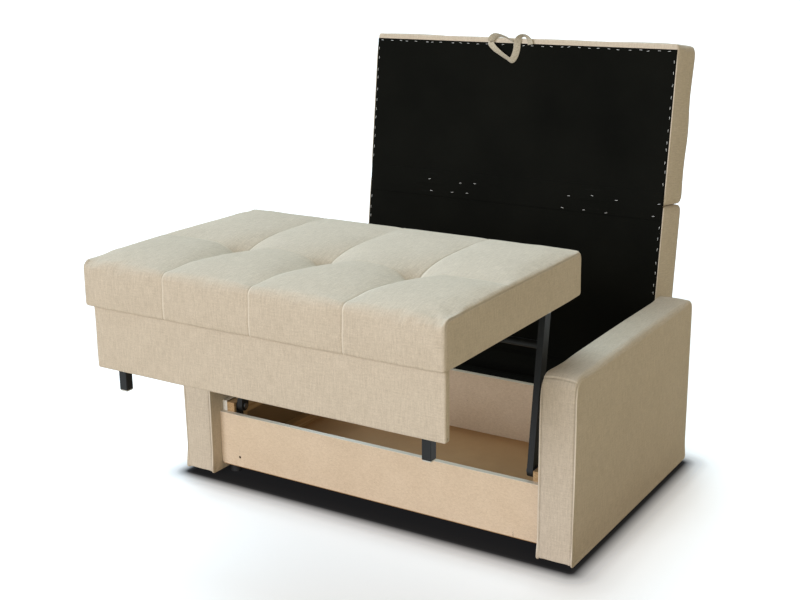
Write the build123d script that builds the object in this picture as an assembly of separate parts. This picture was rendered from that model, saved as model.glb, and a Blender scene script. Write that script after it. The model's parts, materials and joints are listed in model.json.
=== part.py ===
from build123d import *
import os
from math import cos, radians, sin, sqrt

# A two-seat sofa bed, caught half way between sofa and bed: the seat is swung up on two
# steel arms, and the two-section back stands unfolded behind the open storage box.
# Millimetres. X runs across the sofa, Y from its front to its rear, Z up from the floor.
# Y is counted from the armrests' front faces until the last step, which centres the whole.

# Armrests
clear_width = 1220
armrest_width = 115
armrest_depth = 930
armrest_top = 591
armrest_bottom = 20
armrest_front_radius = 42
armrest_rear_radius = 30
armrest_edge_radius = 11
armrest_padding = 18
armrest_side_padding = 12
armrest_board = 16
armrest_rail = 40
armrest_glide_radius = 24
armrest_glide_inset = 90

# Storage box
board = 18
edge_band = 1
front_setback = 48
box_bottom = 40
front_top = 225
back_top = 256
box_rear_margin = 15
rear_space = 163
rail_width = 30
rail_drop = 3
top_rail_height = 53
bottom_rail_height = 32
post_depth = 69
floor_sheet = 3.2
floor_margin = 2
bearer_width = 45
bearer_height = 20
bearer_spacing = 400
bearer_setback = 120
foot_radius = 20
foot_inset = 22
foot_setback = 47
front_corner_radius = 10

# Black-covered rear of the box, which carries the back
beam_width = 45
beam_height = 45
beam_top = 232
shelf_thickness = 4
rear_cover_thickness = 5

# Lifting arms
pivot_margin = 27
arm_over_front = 2
arm_length = 487
arm_lean = 8
arm_height = 36
arm_thickness = 20
arm_wall = 2
arm_end_plug = 45
bolt_radius = 6
bolt_head_radius = 10
bolt_head = 5
seat_nut = 4
bush_radius = 9
running_clearance = 0.1
seat_clearance = 0.05
arm_gap = 0.5
washer_radius = 13
washer_thickness = 2
bracket_plate = 3
bracket_length = 50
bracket_top_radius = 16
bracket_drop = 78
cross_tube_radius = 12
cross_tube_wall = 2
cross_tube_reach = 380

# Seat
seat_side_gap = 4
seat_depth = 812
seat_edge = 139
seat_crown = 20
seat_pivot_margin = 119
seat_over_arm = 3
seat_columns = 4
seat_rows = 2
seat_rim = 22
seat_roll = 20
frame_height = 30
frame_rail = 45
pivot_rail = 60
deck_thickness = 3.2
lining_thickness = 1
lining_margin = 12
lining_front = 84
hanger_plate = 4
hanger_flange_plate = 3
hanger_flange = 50
hanger_length = 90
hanger_eye_radius = 15
skirt_setback = 23
skirt_side_inset = 11
skirt_height = 195
skirt_thickness = 25
skirt_padding = 5
leg_size = 28
leg_edge = 1.5
leg_inset = 71
leg_height = 262
leg_glide = 4
pad_gap = 0.3
pad_height = 4
pad_size = 16
pad_setbacks_shares = (0.3, 0.9)

# Back
back_hinge_margin = 16
back_hinge_z = 260
back_lean = 7.25
back_side_gap = 15
back_edge = 168
back_crown = 12
lower_length = 630
upper_length = 540
fold_gap = 3
section_gap = 6
hinge_end_gap = 10
back_rim = 24
back_frame_rail = 50
back_frame_height = 28
back_roll = 34
back_end_roll = 22
back_lining_margin = 7
back_lining_drop = 26

# Sewing, shared by the cushions
side_draw = 5
waist_draw = 4
channel_depth = 7
tuft_depth = 24
tuft_reach = 70
front_seam_depth = 4
front_seam_half_width = 7
seam_level_share = 0.3
row_stations_shares = (0.07, 0.22, 0.5, 0.78, 0.93)
roll_stations_shares = ((0, 1), (0.12, 0.5), (0.5, 0.13), (1, 0))

# Hinges of the back
fall_hinge_spacing = 860
fall_eye_radius = 8
fall_pin_radius = 4
fall_tongue = 5
fall_ear = 4
fall_side_gap = 0.4
fall_leaf_width = 60
fall_leaf_height = 80
fall_base_length = 50
fall_base_width = 36
fall_base_plate = 3
fold_hinge_spacing = 660
fold_hinge_width = 60
fold_leaf_height = 27
fold_leaf_plate = 1.3
fold_barrel_radius = 3
fold_pin_radius = 1.5
fold_knuckle = 20
fold_knuckle_gap = 0.3

# Pull strap at the top of the upper back
strap_width = 24
strap_thickness = 2
strap_span = 124
strap_dip = 74
strap_rise = 8
strap_bend_radius = 16
strap_tip_radius = 13
strap_lap = 22
strap_gap = 0.2

# Bolts that hold the armrests to the box
armrest_bolt_radius = 4
armrest_bolt_head_radius = 9
armrest_bolt_head = 5
armrest_bolt_places_shares = (0.16, 0.88)
armrest_bolt_height = 140

overrun = 5

# Sizes worked out from the ones above
half_clear = clear_width / 2
side_inner = half_clear - board
rail_inner = side_inner - rail_width
seat_width = clear_width - 2 * seat_side_gap
skirt_width = seat_width - 2 * skirt_side_inset
leg_place = skirt_width / 2 - leg_inset
back_width = clear_width - 2 * back_side_gap
box_front_rear = front_setback + board
box_rear = armrest_depth - box_rear_margin
box_back_front = box_rear - rear_space - board
back_hinge_y = box_rear - back_hinge_margin
pivot_y = box_front_rear + pivot_margin
pivot_z = front_top + edge_band + arm_over_front + arm_height / 2
pivot_drop = arm_height / 2 + seat_over_arm
side_top = pivot_z + pivot_drop - lining_thickness - pad_gap - pad_height - edge_band
bracket_inner = rail_inner - bracket_plate
arm_outer = bracket_inner - washer_thickness - 2 * arm_gap
arm_inner = arm_outer - arm_thickness
top_pivot_y = pivot_y + arm_length * sin(radians(arm_lean))
top_pivot_z = pivot_z + arm_length * cos(radians(arm_lean))
seat_pivot_setback = seat_depth - seat_pivot_margin
seat_front = top_pivot_y - seat_pivot_setback
seat_bottom = top_pivot_z + pivot_drop
seat_place = Pos(0, seat_front, seat_bottom)
back_place = Pos(0, back_hinge_y, back_hinge_z) * Rot(-back_lean, 0, 0)
lining_face = fold_gap / 2
section_face = lining_face + lining_thickness


# Basic shapes

def block(x0, x1, y0, y1, z0, z1):
    """A box between three pairs of coordinates."""
    size = Box(x1 - x0, y1 - y0, z1 - z0)
    return Pos((x0 + x1) / 2, (y0 + y1) / 2, (z0 + z1) / 2) * size


def rod(radius, x0, x1, y=0, z=0):
    """A round bar along X through (y, z)."""
    bar = Rot(0, 90, 0) * Cylinder(radius, x1 - x0)
    return Pos((x0 + x1) / 2, y, z) * bar


def upright(radius, x, y, z0, z1):
    """A round bar along Z through (x, y)."""
    return Pos(x, y, (z0 + z1) / 2) * Cylinder(radius, z1 - z0)


def hexagon(radius, x0, x1, y=0, z=0):
    """A six-sided bar along X through (y, z)."""
    return side_plate(x0, x1, Pos(y, z) * RegularPolygon(radius, 6))


def mirrored(solid):
    """The same piece on the other side of the sofa."""
    return group(*[part.mirror(Plane.YZ) for part in solid.solids()])


def side_plate(x0, x1, outline):
    """A plate from x0 to x1 whose outline is drawn in Y and Z."""
    face = Plane.YZ * outline
    return Pos(x0, 0, 0) * extrude(face, amount=x1 - x0)


def group(*solids):
    """Separate solids kept together under one name."""
    parts = [part for piece in solids for part in piece.solids()]
    return parts[0] if len(parts) == 1 else Compound(parts)


# Cushions

def cushion_outline(y, half_width, edge, seams, crests):
    """The closed outline across a cushion at y: flat underside, bulged sides, puffed columns."""
    inner = half_width - side_draw
    count = len(crests)
    xs = [inner * (2 * i / count - 1) for i in range(count + 1)]
    zs = [edge] + seams + [edge]
    edges = [Line((-inner, y, 0), (inner, y, 0))]
    edges.append(ThreePointArc((inner, y, 0), (half_width, y, edge / 2), (inner, y, edge)))
    for i in reversed(range(count)):
        middle = ((xs[i] + xs[i + 1]) / 2, y, crests[i])
        edges.append(ThreePointArc((xs[i + 1], y, zs[i + 1]), middle, (xs[i], y, zs[i])))
    edges.append(ThreePointArc((-inner, y, edge), (-half_width, y, edge / 2), (-inner, y, 0)))
    return make_face(edges)


def cushion_stations(length, edge, crown, rows, front_roll, rear_roll):
    """Lists, for places along the cushion, the edge height, the crest height and the tuft share."""
    row = length / rows
    stations = []
    for reach, fall in roll_stations_shares:
        lowered = edge - front_roll * fall
        stations.append((reach * front_roll, lowered, lowered + crown * (1 - fall) * seam_level_share, 0))
    for r in range(rows):
        if r:
            stations.append((r * row, edge, edge + crown * seam_level_share, 1))
        for share in row_stations_shares:
            y = (r + share) * row
            puff = sqrt(4 * share * (1 - share))
            nearest = min(abs(y - k * row) for k in range(1, rows)) if rows > 1 else length
            tuft = max(0, 1 - nearest / tuft_reach) ** 2
            level = seam_level_share + (1 - seam_level_share) * puff
            stations.append((y, edge, edge + crown * level, tuft))
    for reach, fall in reversed(roll_stations_shares):
        lowered = edge - rear_roll * fall
        y = length - reach * rear_roll
        stations.append((y, lowered, lowered + crown * (1 - fall) * seam_level_share, 0))
    return stations


def cushion(width, length, edge, crown, columns, rows, front_roll, rear_roll):
    """A sewn cushion from its front edge at y=0, underside at z=0, crown and channels on top."""
    outlines = []
    for y, rim, crest, tuft in cushion_stations(length, edge, crown, rows, front_roll, rear_roll):
        along = y / length
        half_width = width / 2 - waist_draw * 4 * along * (1 - along)
        sunk = min(crest - rim, channel_depth) + (tuft_depth - channel_depth) * tuft
        seam = crest - sunk if rim == edge else rim - front_seam_depth / 2
        outlines.append(cushion_outline(y, half_width, rim, [seam] * (columns - 1), [crest] * columns))
    return loft(outlines, ruled=True)


def front_seams(width, edge, columns):
    """Wedges that sink the seams into a cushion's front face, one below each channel."""
    wedges = []
    for i in range(1, columns):
        x = (width / 2 - side_draw) * (2 * i / columns - 1)
        corners = [(x - front_seam_half_width, -overrun), (x, front_seam_depth),
                   (x + front_seam_half_width, -overrun)]
        wedges.append(extrude(make_face(Polyline(*corners, close=True)), amount=edge))
    return wedges


# Armrests

def armrest_bolt_rows():
    """Places along the box of the bolts that hold one armrest."""
    return [box_front_rear + share * (box_back_front - box_front_rear)
            for share in armrest_bolt_places_shares]


def armrest_cover():
    """Padding and fabric of the right armrest, a shell open below."""
    form = block(half_clear, half_clear + armrest_width, 0, armrest_depth, armrest_bottom, armrest_top)
    upper = form.edges().filter_by(Axis.X).group_by(Axis.Z)[-1].sort_by(Axis.Y)
    form = fillet(upper[0], armrest_front_radius)
    upper = form.edges().filter_by(Axis.X).group_by(Axis.Z)[-1].sort_by(Axis.Y)
    form = fillet(upper[-1], armrest_rear_radius)
    rims = [e for e in form.edges() if abs(e.center().X - half_clear - armrest_width / 2) > armrest_width / 3
            and e.center().Z > armrest_bottom + overrun]
    form = fillet(rims, armrest_edge_radius)
    form = form - block(half_clear + armrest_side_padding, half_clear + armrest_width - armrest_side_padding,
                        armrest_padding, armrest_depth - armrest_padding,
                        armrest_bottom - overrun, armrest_top - armrest_padding)
    for y in armrest_bolt_rows():
        hole = rod(armrest_bolt_radius + running_clearance, half_clear - overrun,
                   half_clear + armrest_side_padding + overrun, y, armrest_bolt_height)
        form = form - hole
    return form


def armrest_frame():
    """The right armrest's boards: two side panels with rails between them."""
    x0 = half_clear + armrest_side_padding
    x1 = half_clear + armrest_width - armrest_side_padding
    y0 = armrest_padding
    y1 = armrest_depth - armrest_padding
    z0 = armrest_bottom
    z1 = armrest_top - armrest_padding
    inside = block(x0, x0 + armrest_board, y0, y1, z0, z1)
    for y in armrest_bolt_rows():
        hole = rod(armrest_bolt_radius + running_clearance, x0 - overrun,
                   x0 + armrest_board + overrun, y, armrest_bolt_height)
        inside = inside - hole
    outside = block(x1 - armrest_board, x1, y0, y1, z0, z1)
    r0 = x0 + armrest_board
    r1 = x1 - armrest_board
    bottom = block(r0, r1, y0, y1, z0, z0 + armrest_rail)
    top = block(r0, r1, y0, y1, z1 - armrest_rail, z1)
    front = block(r0, r1, y0, y0 + armrest_rail, z0 + armrest_rail, z1 - armrest_rail)
    rear = block(r0, r1, y1 - armrest_rail, y1, z0 + armrest_rail, z1 - armrest_rail)
    return group(inside, outside, bottom, top, front, rear)


def armrest_glides():
    """Plastic glides under both armrests, one near each end."""
    glides = []
    x = half_clear + armrest_width / 2
    for y in (armrest_glide_inset, armrest_depth - armrest_glide_inset):
        glide = upright(armrest_glide_radius, x, y, 0, armrest_bottom)
        glides += [glide, mirrored(glide)]
    return group(*glides)


def armrest_bolts():
    """Bolts through the box sides into the armrests' boards, each closed by its nut."""
    bolts = []
    nut_start = half_clear + armrest_side_padding + armrest_board
    for y in armrest_bolt_rows():
        place = y, armrest_bolt_height
        head = hexagon(armrest_bolt_head_radius, side_inner - armrest_bolt_head, side_inner, *place)
        shank = rod(armrest_bolt_radius, side_inner, nut_start, *place)
        nut = hexagon(armrest_bolt_head_radius, nut_start, nut_start + armrest_bolt_head, *place)
        bolt = head + shank + nut
        bolts += [bolt, mirrored(bolt)]
    return group(*bolts)


# Storage box

def box_front():
    """Raw board across the front of the box, its lower corners eased."""
    panel = block(-half_clear, half_clear, front_setback, box_front_rear, box_bottom, front_top)
    corners = panel.edges().filter_by(Axis.Y).group_by(Axis.Z)[0]
    return fillet(corners, front_corner_radius)


def box_back():
    """Board across the rear of the storage space."""
    return block(-side_inner, side_inner, box_back_front, box_back_front + board, box_bottom, back_top)


def box_side():
    """Right side of the box, drilled for the armrest's bolts."""
    panel = block(side_inner, half_clear, box_front_rear, box_rear, box_bottom, side_top)
    for y in armrest_bolt_rows():
        hole = rod(armrest_bolt_radius + running_clearance, side_inner - overrun,
                   half_clear + overrun, y, armrest_bolt_height)
        panel = panel - hole
    return panel


def edge_bands():
    """White strips on the top edges of the box's boards."""
    front = block(-half_clear, half_clear, front_setback, box_front_rear, front_top, front_top + edge_band)
    rear = block(-side_inner, side_inner, box_back_front, box_back_front + board,
                 back_top, back_top + edge_band)
    side = block(side_inner, half_clear, box_front_rear, box_rear, side_top, side_top + edge_band)
    return group(front, rear, side, mirrored(side))


def side_rails():
    """Battens on the inside of the right box side: top, bottom and two posts."""
    rail_top = side_top - rail_drop
    post_bottom = box_bottom + bottom_rail_height
    post_top = rail_top - top_rail_height
    x0 = rail_inner
    x1 = side_inner
    top = block(x0, x1, box_front_rear, box_back_front, post_top, rail_top)
    top = top - rod(bolt_radius + seat_clearance, x0 - overrun, x1 + overrun, pivot_y, pivot_z)
    bottom = block(x0, x1, box_front_rear, box_back_front, box_bottom, post_bottom)
    front = block(x0, x1, box_front_rear, box_front_rear + post_depth, post_bottom, post_top)
    rear = block(x0, x1, box_back_front - post_depth, box_back_front, post_bottom, post_top)
    return group(top, bottom, front, rear)


def box_floor():
    """Hardboard sheet nailed under the box."""
    edge = half_clear - floor_margin
    return block(-edge, edge, front_setback + floor_margin, box_rear, box_bottom - floor_sheet, box_bottom)


def floor_bearers():
    """Two battens under the floor sheet, from behind the feet to the rear."""
    top = box_bottom - floor_sheet
    x = bearer_spacing / 2
    bearer = block(x - bearer_width / 2, x + bearer_width / 2, box_front_rear + bearer_setback, box_rear,
                   top - bearer_height, top)
    return group(bearer, mirrored(bearer))


def box_feet():
    """Black feet under the corners of the box."""
    feet = []
    x = half_clear - foot_inset
    for y in (front_setback + foot_setback, box_rear - foot_setback):
        foot = upright(foot_radius, x, y, 0, box_bottom - floor_sheet)
        feet += [foot, mirrored(foot)]
    return group(*feet)


def seat_pads():
    """Felt pads on the box sides, on which the closed seat rests."""
    pads = []
    x = half_clear - board / 2
    half = pad_size / 2
    low = side_top + edge_band
    for share in pad_setbacks_shares:
        y = box_front_rear + share * (box_back_front - box_front_rear)
        pad = block(x - half, x + half, y - half, y + half, low, low + pad_height)
        pads += [pad, mirrored(pad)]
    return group(*pads)


def rear_beams():
    """Two pine beams behind the box, under the shelf that carries the back."""
    near = box_back_front + board
    far = box_rear - rear_cover_thickness
    beams = []
    for y in (near, far - beam_width):
        beams.append(block(-side_inner, side_inner, y, y + beam_width, beam_top - beam_height, beam_top))
    return group(*beams)


def rear_shelf():
    """Black-covered board that closes the space behind the storage box."""
    return block(-side_inner, side_inner, box_back_front + board, box_rear,
                 beam_top, beam_top + shelf_thickness)


def rear_cover():
    """Black-covered panel that closes the rear of the base."""
    return block(-side_inner, side_inner, box_rear - rear_cover_thickness, box_rear, box_bottom, beam_top)


# Lifting arms

def pivot_bracket():
    """Plate on the right rail that carries the arm's lower pivot."""
    low = pivot_z - bracket_drop
    body = Pos(pivot_y, (low + pivot_z) / 2) * Rectangle(bracket_length - bracket_top_radius, pivot_z - low)
    outline = body + Pos(pivot_y, pivot_z) * Circle(bracket_top_radius)
    plate = side_plate(bracket_inner, rail_inner, outline)
    feet = plate.edges().filter_by(Axis.X).group_by(Axis.Z)[0]
    plate = chamfer(feet, bracket_plate * 2)
    return plate - rod(bolt_radius + seat_clearance, bracket_inner - overrun, rail_inner + overrun,
                       pivot_y, pivot_z)


def pivot_bolts():
    """Bolts on which the arms swing, each with a washer between arm and bracket."""
    bolts = []
    head_start = arm_inner - arm_gap - bolt_head
    head = hexagon(bolt_head_radius, head_start, arm_inner - arm_gap, pivot_y, pivot_z)
    shank = rod(bolt_radius, arm_inner - arm_gap, side_inner, pivot_y, pivot_z)
    washer_start = arm_outer + arm_gap
    washer = rod(washer_radius, washer_start, washer_start + washer_thickness, pivot_y, pivot_z)
    washer = washer - rod(bolt_radius + seat_clearance, washer_start - overrun, bracket_inner + overrun,
                          pivot_y, pivot_z)
    for piece in (head + shank, washer):
        bolts += [piece, mirrored(piece)]
    return group(*bolts)


def arm():
    """Right arm: flat-sided steel tube with round plugged ends, bored for its two bushes."""
    reach = arm_length
    tube = extrude(SlotCenterToCenter(reach, arm_height), amount=arm_thickness)
    bore = Box(reach - 2 * arm_end_plug, arm_height - 2 * arm_wall, arm_thickness - 2 * arm_wall)
    tube = tube - Pos(0, 0, arm_thickness / 2) * bore
    for end in (-reach / 2, reach / 2):
        tube = tube - Pos(end, 0, arm_thickness / 2) * Cylinder(bush_radius + seat_clearance, clear_width)
    middle_y = (pivot_y + top_pivot_y) / 2
    middle_z = (pivot_z + top_pivot_z) / 2
    return Pos(arm_inner, middle_y, middle_z) * Rot(-arm_lean, 0, 0) * Rot(0, 90, 0) * tube


def arm_bushes():
    """Bushes in both ends of both arms."""
    bushes = []
    for y, z in ((pivot_y, pivot_z), (top_pivot_y, top_pivot_z)):
        bush = rod(bush_radius, arm_inner, arm_outer, y, z)
        bush = bush - rod(bolt_radius + running_clearance, arm_inner - overrun, arm_outer + overrun, y, z)
        bushes += [bush, mirrored(bush)]
    return group(*bushes)


def cross_tube():
    """Round tube that ties the two arms together."""
    y = pivot_y + cross_tube_reach * sin(radians(arm_lean))
    z = pivot_z + cross_tube_reach * cos(radians(arm_lean))
    tube = rod(cross_tube_radius, -arm_inner, arm_inner, y, z)
    return tube - rod(cross_tube_radius - cross_tube_wall, -clear_width, clear_width, y, z)


# Seat

def seat_pocket(height):
    """The space under the seat cushion that its frame and deck fill."""
    half = seat_width / 2 - seat_rim
    return block(-half, half, seat_rim, seat_depth - seat_rim, -overrun, height)


def seat_cushion():
    """Seat cushion with four columns, one cross seam and three tufts."""
    form = cushion(seat_width, seat_depth, seat_edge, seat_crown, seat_columns, seat_rows,
                   seat_roll, seat_roll)
    for wedge in front_seams(seat_width, seat_edge, seat_columns):
        form = form - wedge
    return seat_place * (form - seat_pocket(frame_height + deck_thickness))


def seat_frame():
    """Timber frame in the seat's underside: four edge rails, a middle rail and the pivot rail."""
    half = seat_width / 2 - seat_rim
    rear = seat_depth - seat_rim
    inner = half - frame_rail
    rails = [block(-half, half, seat_rim, seat_rim + frame_rail, 0, frame_height)]
    rails.append(block(-half, half, rear - frame_rail, rear, 0, frame_height))
    side = block(inner, half, seat_rim + frame_rail, rear - frame_rail, 0, frame_height)
    rails += [side, mirrored(side)]
    middle = seat_depth / 2
    rails.append(block(-inner, inner, middle - frame_rail / 2, middle + frame_rail / 2, 0, frame_height))
    carrier = seat_pivot_setback - pivot_rail / 2
    rails.append(block(-inner, inner, carrier, carrier + pivot_rail, 0, frame_height))
    return seat_place * group(*rails)


def seat_deck():
    """Hardboard sheet over the seat's frame, under the foam."""
    half = seat_width / 2 - seat_rim
    return seat_place * block(-half, half, seat_rim, seat_depth - seat_rim,
                              frame_height, frame_height + deck_thickness)


def seat_lining():
    """Black cloth stapled under the seat, behind the legs."""
    half = seat_width / 2 - lining_margin
    return seat_place * block(-half, half, lining_front, seat_depth - lining_margin, -lining_thickness, 0)


def hanger_outline():
    """Side view of the plate under the seat, tapering down to the pivot's eye."""
    half = hanger_length / 2
    low = -pivot_drop
    corners = [(-half, -lining_thickness), (-hanger_eye_radius, low), (hanger_eye_radius, low),
               (half, -lining_thickness)]
    return make_face(Polyline(*corners, close=True)) + Pos(0, low) * Circle(hanger_eye_radius)


def seat_hanger():
    """Angle bracket under the right of the seat, which hangs on the arm's upper pivot."""
    outer = arm_inner - arm_gap
    plate = side_plate(outer - hanger_plate, outer, hanger_outline())
    half = hanger_length / 2
    flange = block(outer - hanger_flange, outer, -half, half,
                   -lining_thickness - hanger_flange_plate, -lining_thickness)
    bracket = plate + flange
    bracket = bracket - rod(bolt_radius + seat_clearance, outer - clear_width, outer + overrun, 0, -pivot_drop)
    return seat_place * Pos(0, seat_pivot_setback, 0) * bracket


def seat_pivot_bolts():
    """Bolts that hang the seat on the arms, each closed by a flat nut outside the arm."""
    outer = arm_inner - arm_gap - hanger_plate
    head = hexagon(bolt_head_radius, outer - bolt_head, outer, top_pivot_y, top_pivot_z)
    end = arm_outer + arm_gap
    shank = rod(bolt_radius, outer, end, top_pivot_y, top_pivot_z)
    nut = hexagon(bolt_head_radius, end, end + seat_nut, top_pivot_y, top_pivot_z)
    bolt = head + shank + nut
    return group(bolt, mirrored(bolt))


def skirt_board():
    """Board inside the upholstered panel that hangs below the seat's front edge."""
    half = skirt_width / 2 - skirt_padding
    rear = skirt_setback + skirt_thickness - skirt_padding
    return seat_place * block(-half, half, skirt_setback + skirt_padding, rear,
                              skirt_padding - skirt_height, 0)


def skirt_cover():
    """Padding and fabric round the skirt's board, soft at its edges and open at the top."""
    half = skirt_width / 2
    form = block(-half, half, skirt_setback, skirt_setback + skirt_thickness, -skirt_height, 0)
    low = form.edges().group_by(Axis.Z)[0]
    ends = form.edges().filter_by(Axis.Z)
    form = chamfer([*low, *ends], skirt_padding)
    rear = skirt_setback + skirt_thickness - skirt_padding
    hollow = block(skirt_padding - half, half - skirt_padding, skirt_setback + skirt_padding, rear,
                   skirt_padding - skirt_height, overrun)
    return seat_place * (form - hollow)


def seat_leg():
    """Square black leg behind the skirt, at the right."""
    front = skirt_setback + skirt_thickness
    half = leg_size / 2
    leg = block(leg_place - half, leg_place + half, front, front + leg_size, -leg_height, 0)
    leg = chamfer(leg.edges().filter_by(Axis.Z), leg_edge)
    return seat_place * leg


def leg_glides():
    """Pale glides under the two legs."""
    front = skirt_setback + skirt_thickness
    half = leg_size / 2 - leg_edge
    glide = block(leg_place - half, leg_place + half, front + leg_edge, front + leg_size - leg_edge,
                  -leg_height - leg_glide, -leg_height)
    return group(seat_place * glide, mirrored(seat_place * glide))


# Back, drawn upright about its lower hinge: Y=0 is the hinge line's plane, the cushion is behind

def section_cushion(start, end, low_roll, high_roll):
    """A back section's cushion from height start to height end, hollowed for its frame."""
    length = end - start
    form = cushion(back_width, length, back_edge, back_crown, seat_columns, 1, low_roll, high_roll)
    half = back_width / 2 - back_rim
    form = form - block(-half, half, back_rim, length - back_rim, -overrun, back_frame_height)
    standing = Rot(0, 0, 180) * Rot(90, 0, 0) * form
    return back_place * Pos(0, section_face, start) * standing


def section_frame(start, end):
    """A back section's timber frame: two stiles, two rails and a middle stile."""
    half = back_width / 2 - back_rim
    front = section_face
    rear = front + back_frame_height
    z0 = start + back_rim
    z1 = end - back_rim
    inner = half - back_frame_rail
    stile = block(inner, half, front, rear, z0, z1)
    low = block(-inner, inner, front, rear, z0, z0 + back_frame_rail)
    high = block(-inner, inner, front, rear, z1 - back_frame_rail, z1)
    middle = block(-back_frame_rail / 2, back_frame_rail / 2, front, rear,
                   z0 + back_frame_rail, z1 - back_frame_rail)
    return back_place * group(stile, mirrored(stile), low, high, middle)


def section_lining(start, end):
    """Black cloth stapled over a back section's frame."""
    half = back_width / 2 - back_lining_margin
    return back_place * block(-half, half, lining_face, section_face, start, end)


def fall_hinge_pieces():
    """Lower hinges of the back: forked base, tongue with its leaf, and pin, for the right side."""
    x = fall_hinge_spacing / 2
    floor = beam_top + shelf_thickness
    ear_in = fall_tongue / 2 + fall_side_gap
    ear_out = ear_in + fall_ear
    plate_top = floor + fall_base_plate
    rise = back_hinge_z - floor
    neck = Pos(back_hinge_y, back_hinge_z - rise / 2) * Rectangle(2 * fall_eye_radius, rise)
    ear_outline = neck + Pos(back_hinge_y, back_hinge_z) * Circle(fall_eye_radius)
    ear = side_plate(x + ear_in, x + ear_out, ear_outline)
    other = side_plate(x - ear_out, x - ear_in, ear_outline)
    front = back_hinge_y - fall_base_width * 2 / 3
    plate = block(x - fall_base_length / 2, x + fall_base_length / 2, front, front + fall_base_width,
                  floor, plate_top)
    base = plate + ear + other
    base = base - rod(fall_pin_radius + seat_clearance, x - fall_base_length, x + fall_base_length,
                      back_hinge_y, back_hinge_z)
    leaf = block(x - fall_leaf_width / 2, x + fall_leaf_width / 2, -lining_face, lining_face,
                 hinge_end_gap, hinge_end_gap + fall_leaf_height)
    neck = block(x - fall_tongue / 2, x + fall_tongue / 2, -lining_face, lining_face, 0,
                 hinge_end_gap + fall_leaf_height)
    tongue = leaf + neck + rod(fall_eye_radius, x - fall_tongue / 2, x + fall_tongue / 2)
    tongue = tongue - rod(fall_pin_radius + running_clearance, x - fall_tongue, x + fall_tongue)
    pin = rod(fall_pin_radius, x - ear_out, x + ear_out, back_hinge_y, back_hinge_z)
    return base, back_place * tongue, pin


def fold_knuckles(x):
    """Where along X the lower leaf's two knuckles and the upper leaf's one lie."""
    half = fold_hinge_width / 2
    inner = fold_knuckle / 2
    lower = [(x - half, x - inner - fold_knuckle_gap), (x + inner + fold_knuckle_gap, x + half)]
    return lower, [(x - inner, x + inner)]


def fold_leaf(x, direction, knuckles):
    """One leaf of a fold hinge, below (-1) or above (+1) the fold line, with its knuckles."""
    half = fold_hinge_width / 2
    face = lining_face - fold_leaf_plate
    near = section_gap * direction
    far = (section_gap + fold_leaf_height) * direction
    leaf = block(x - half, x + half, face, lining_face, min(near, far), max(near, far))
    for low, high in knuckles:
        tab = block(low, high, face, lining_face, min(near, 0), max(near, 0))
        leaf = leaf + tab + rod(fold_barrel_radius, low, high)
    leaf = leaf - rod(fold_pin_radius + running_clearance, x - fold_hinge_width, x + fold_hinge_width)
    return back_place * Pos(0, 0, lower_length) * leaf


def fold_pins():
    """Pins of the two fold hinges."""
    x = fold_hinge_spacing / 2
    pin = rod(fold_pin_radius, x - fold_hinge_width / 2, x + fold_hinge_width / 2)
    pin = back_place * Pos(0, 0, lower_length) * pin
    return group(pin, mirrored(pin))


def pull_strap():
    """Loop of webbing at the top of the back, hanging in a V over the lining."""
    top = lower_length + upper_length
    half = strap_span / 2
    shoulder = half / 2
    points = [(-half, -strap_lap), (-shoulder, strap_rise), (0, -strap_dip), (shoulder, strap_rise),
              (half, -strap_lap)]
    radii = [strap_bend_radius, strap_tip_radius, strap_bend_radius]
    line = FilletPolyline(*points, radius=radii)
    ribbon = extrude(trace(line, strap_width), amount=strap_thickness)
    standing = Rot(90, 0, 0) * ribbon
    return back_place * Pos(0, lining_face - strap_gap, top) * standing


def pair(name, piece):
    """A right-hand piece and its mirror image, named by side."""
    return {name + "_right": piece, name + "_left": mirrored(piece)}


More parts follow.
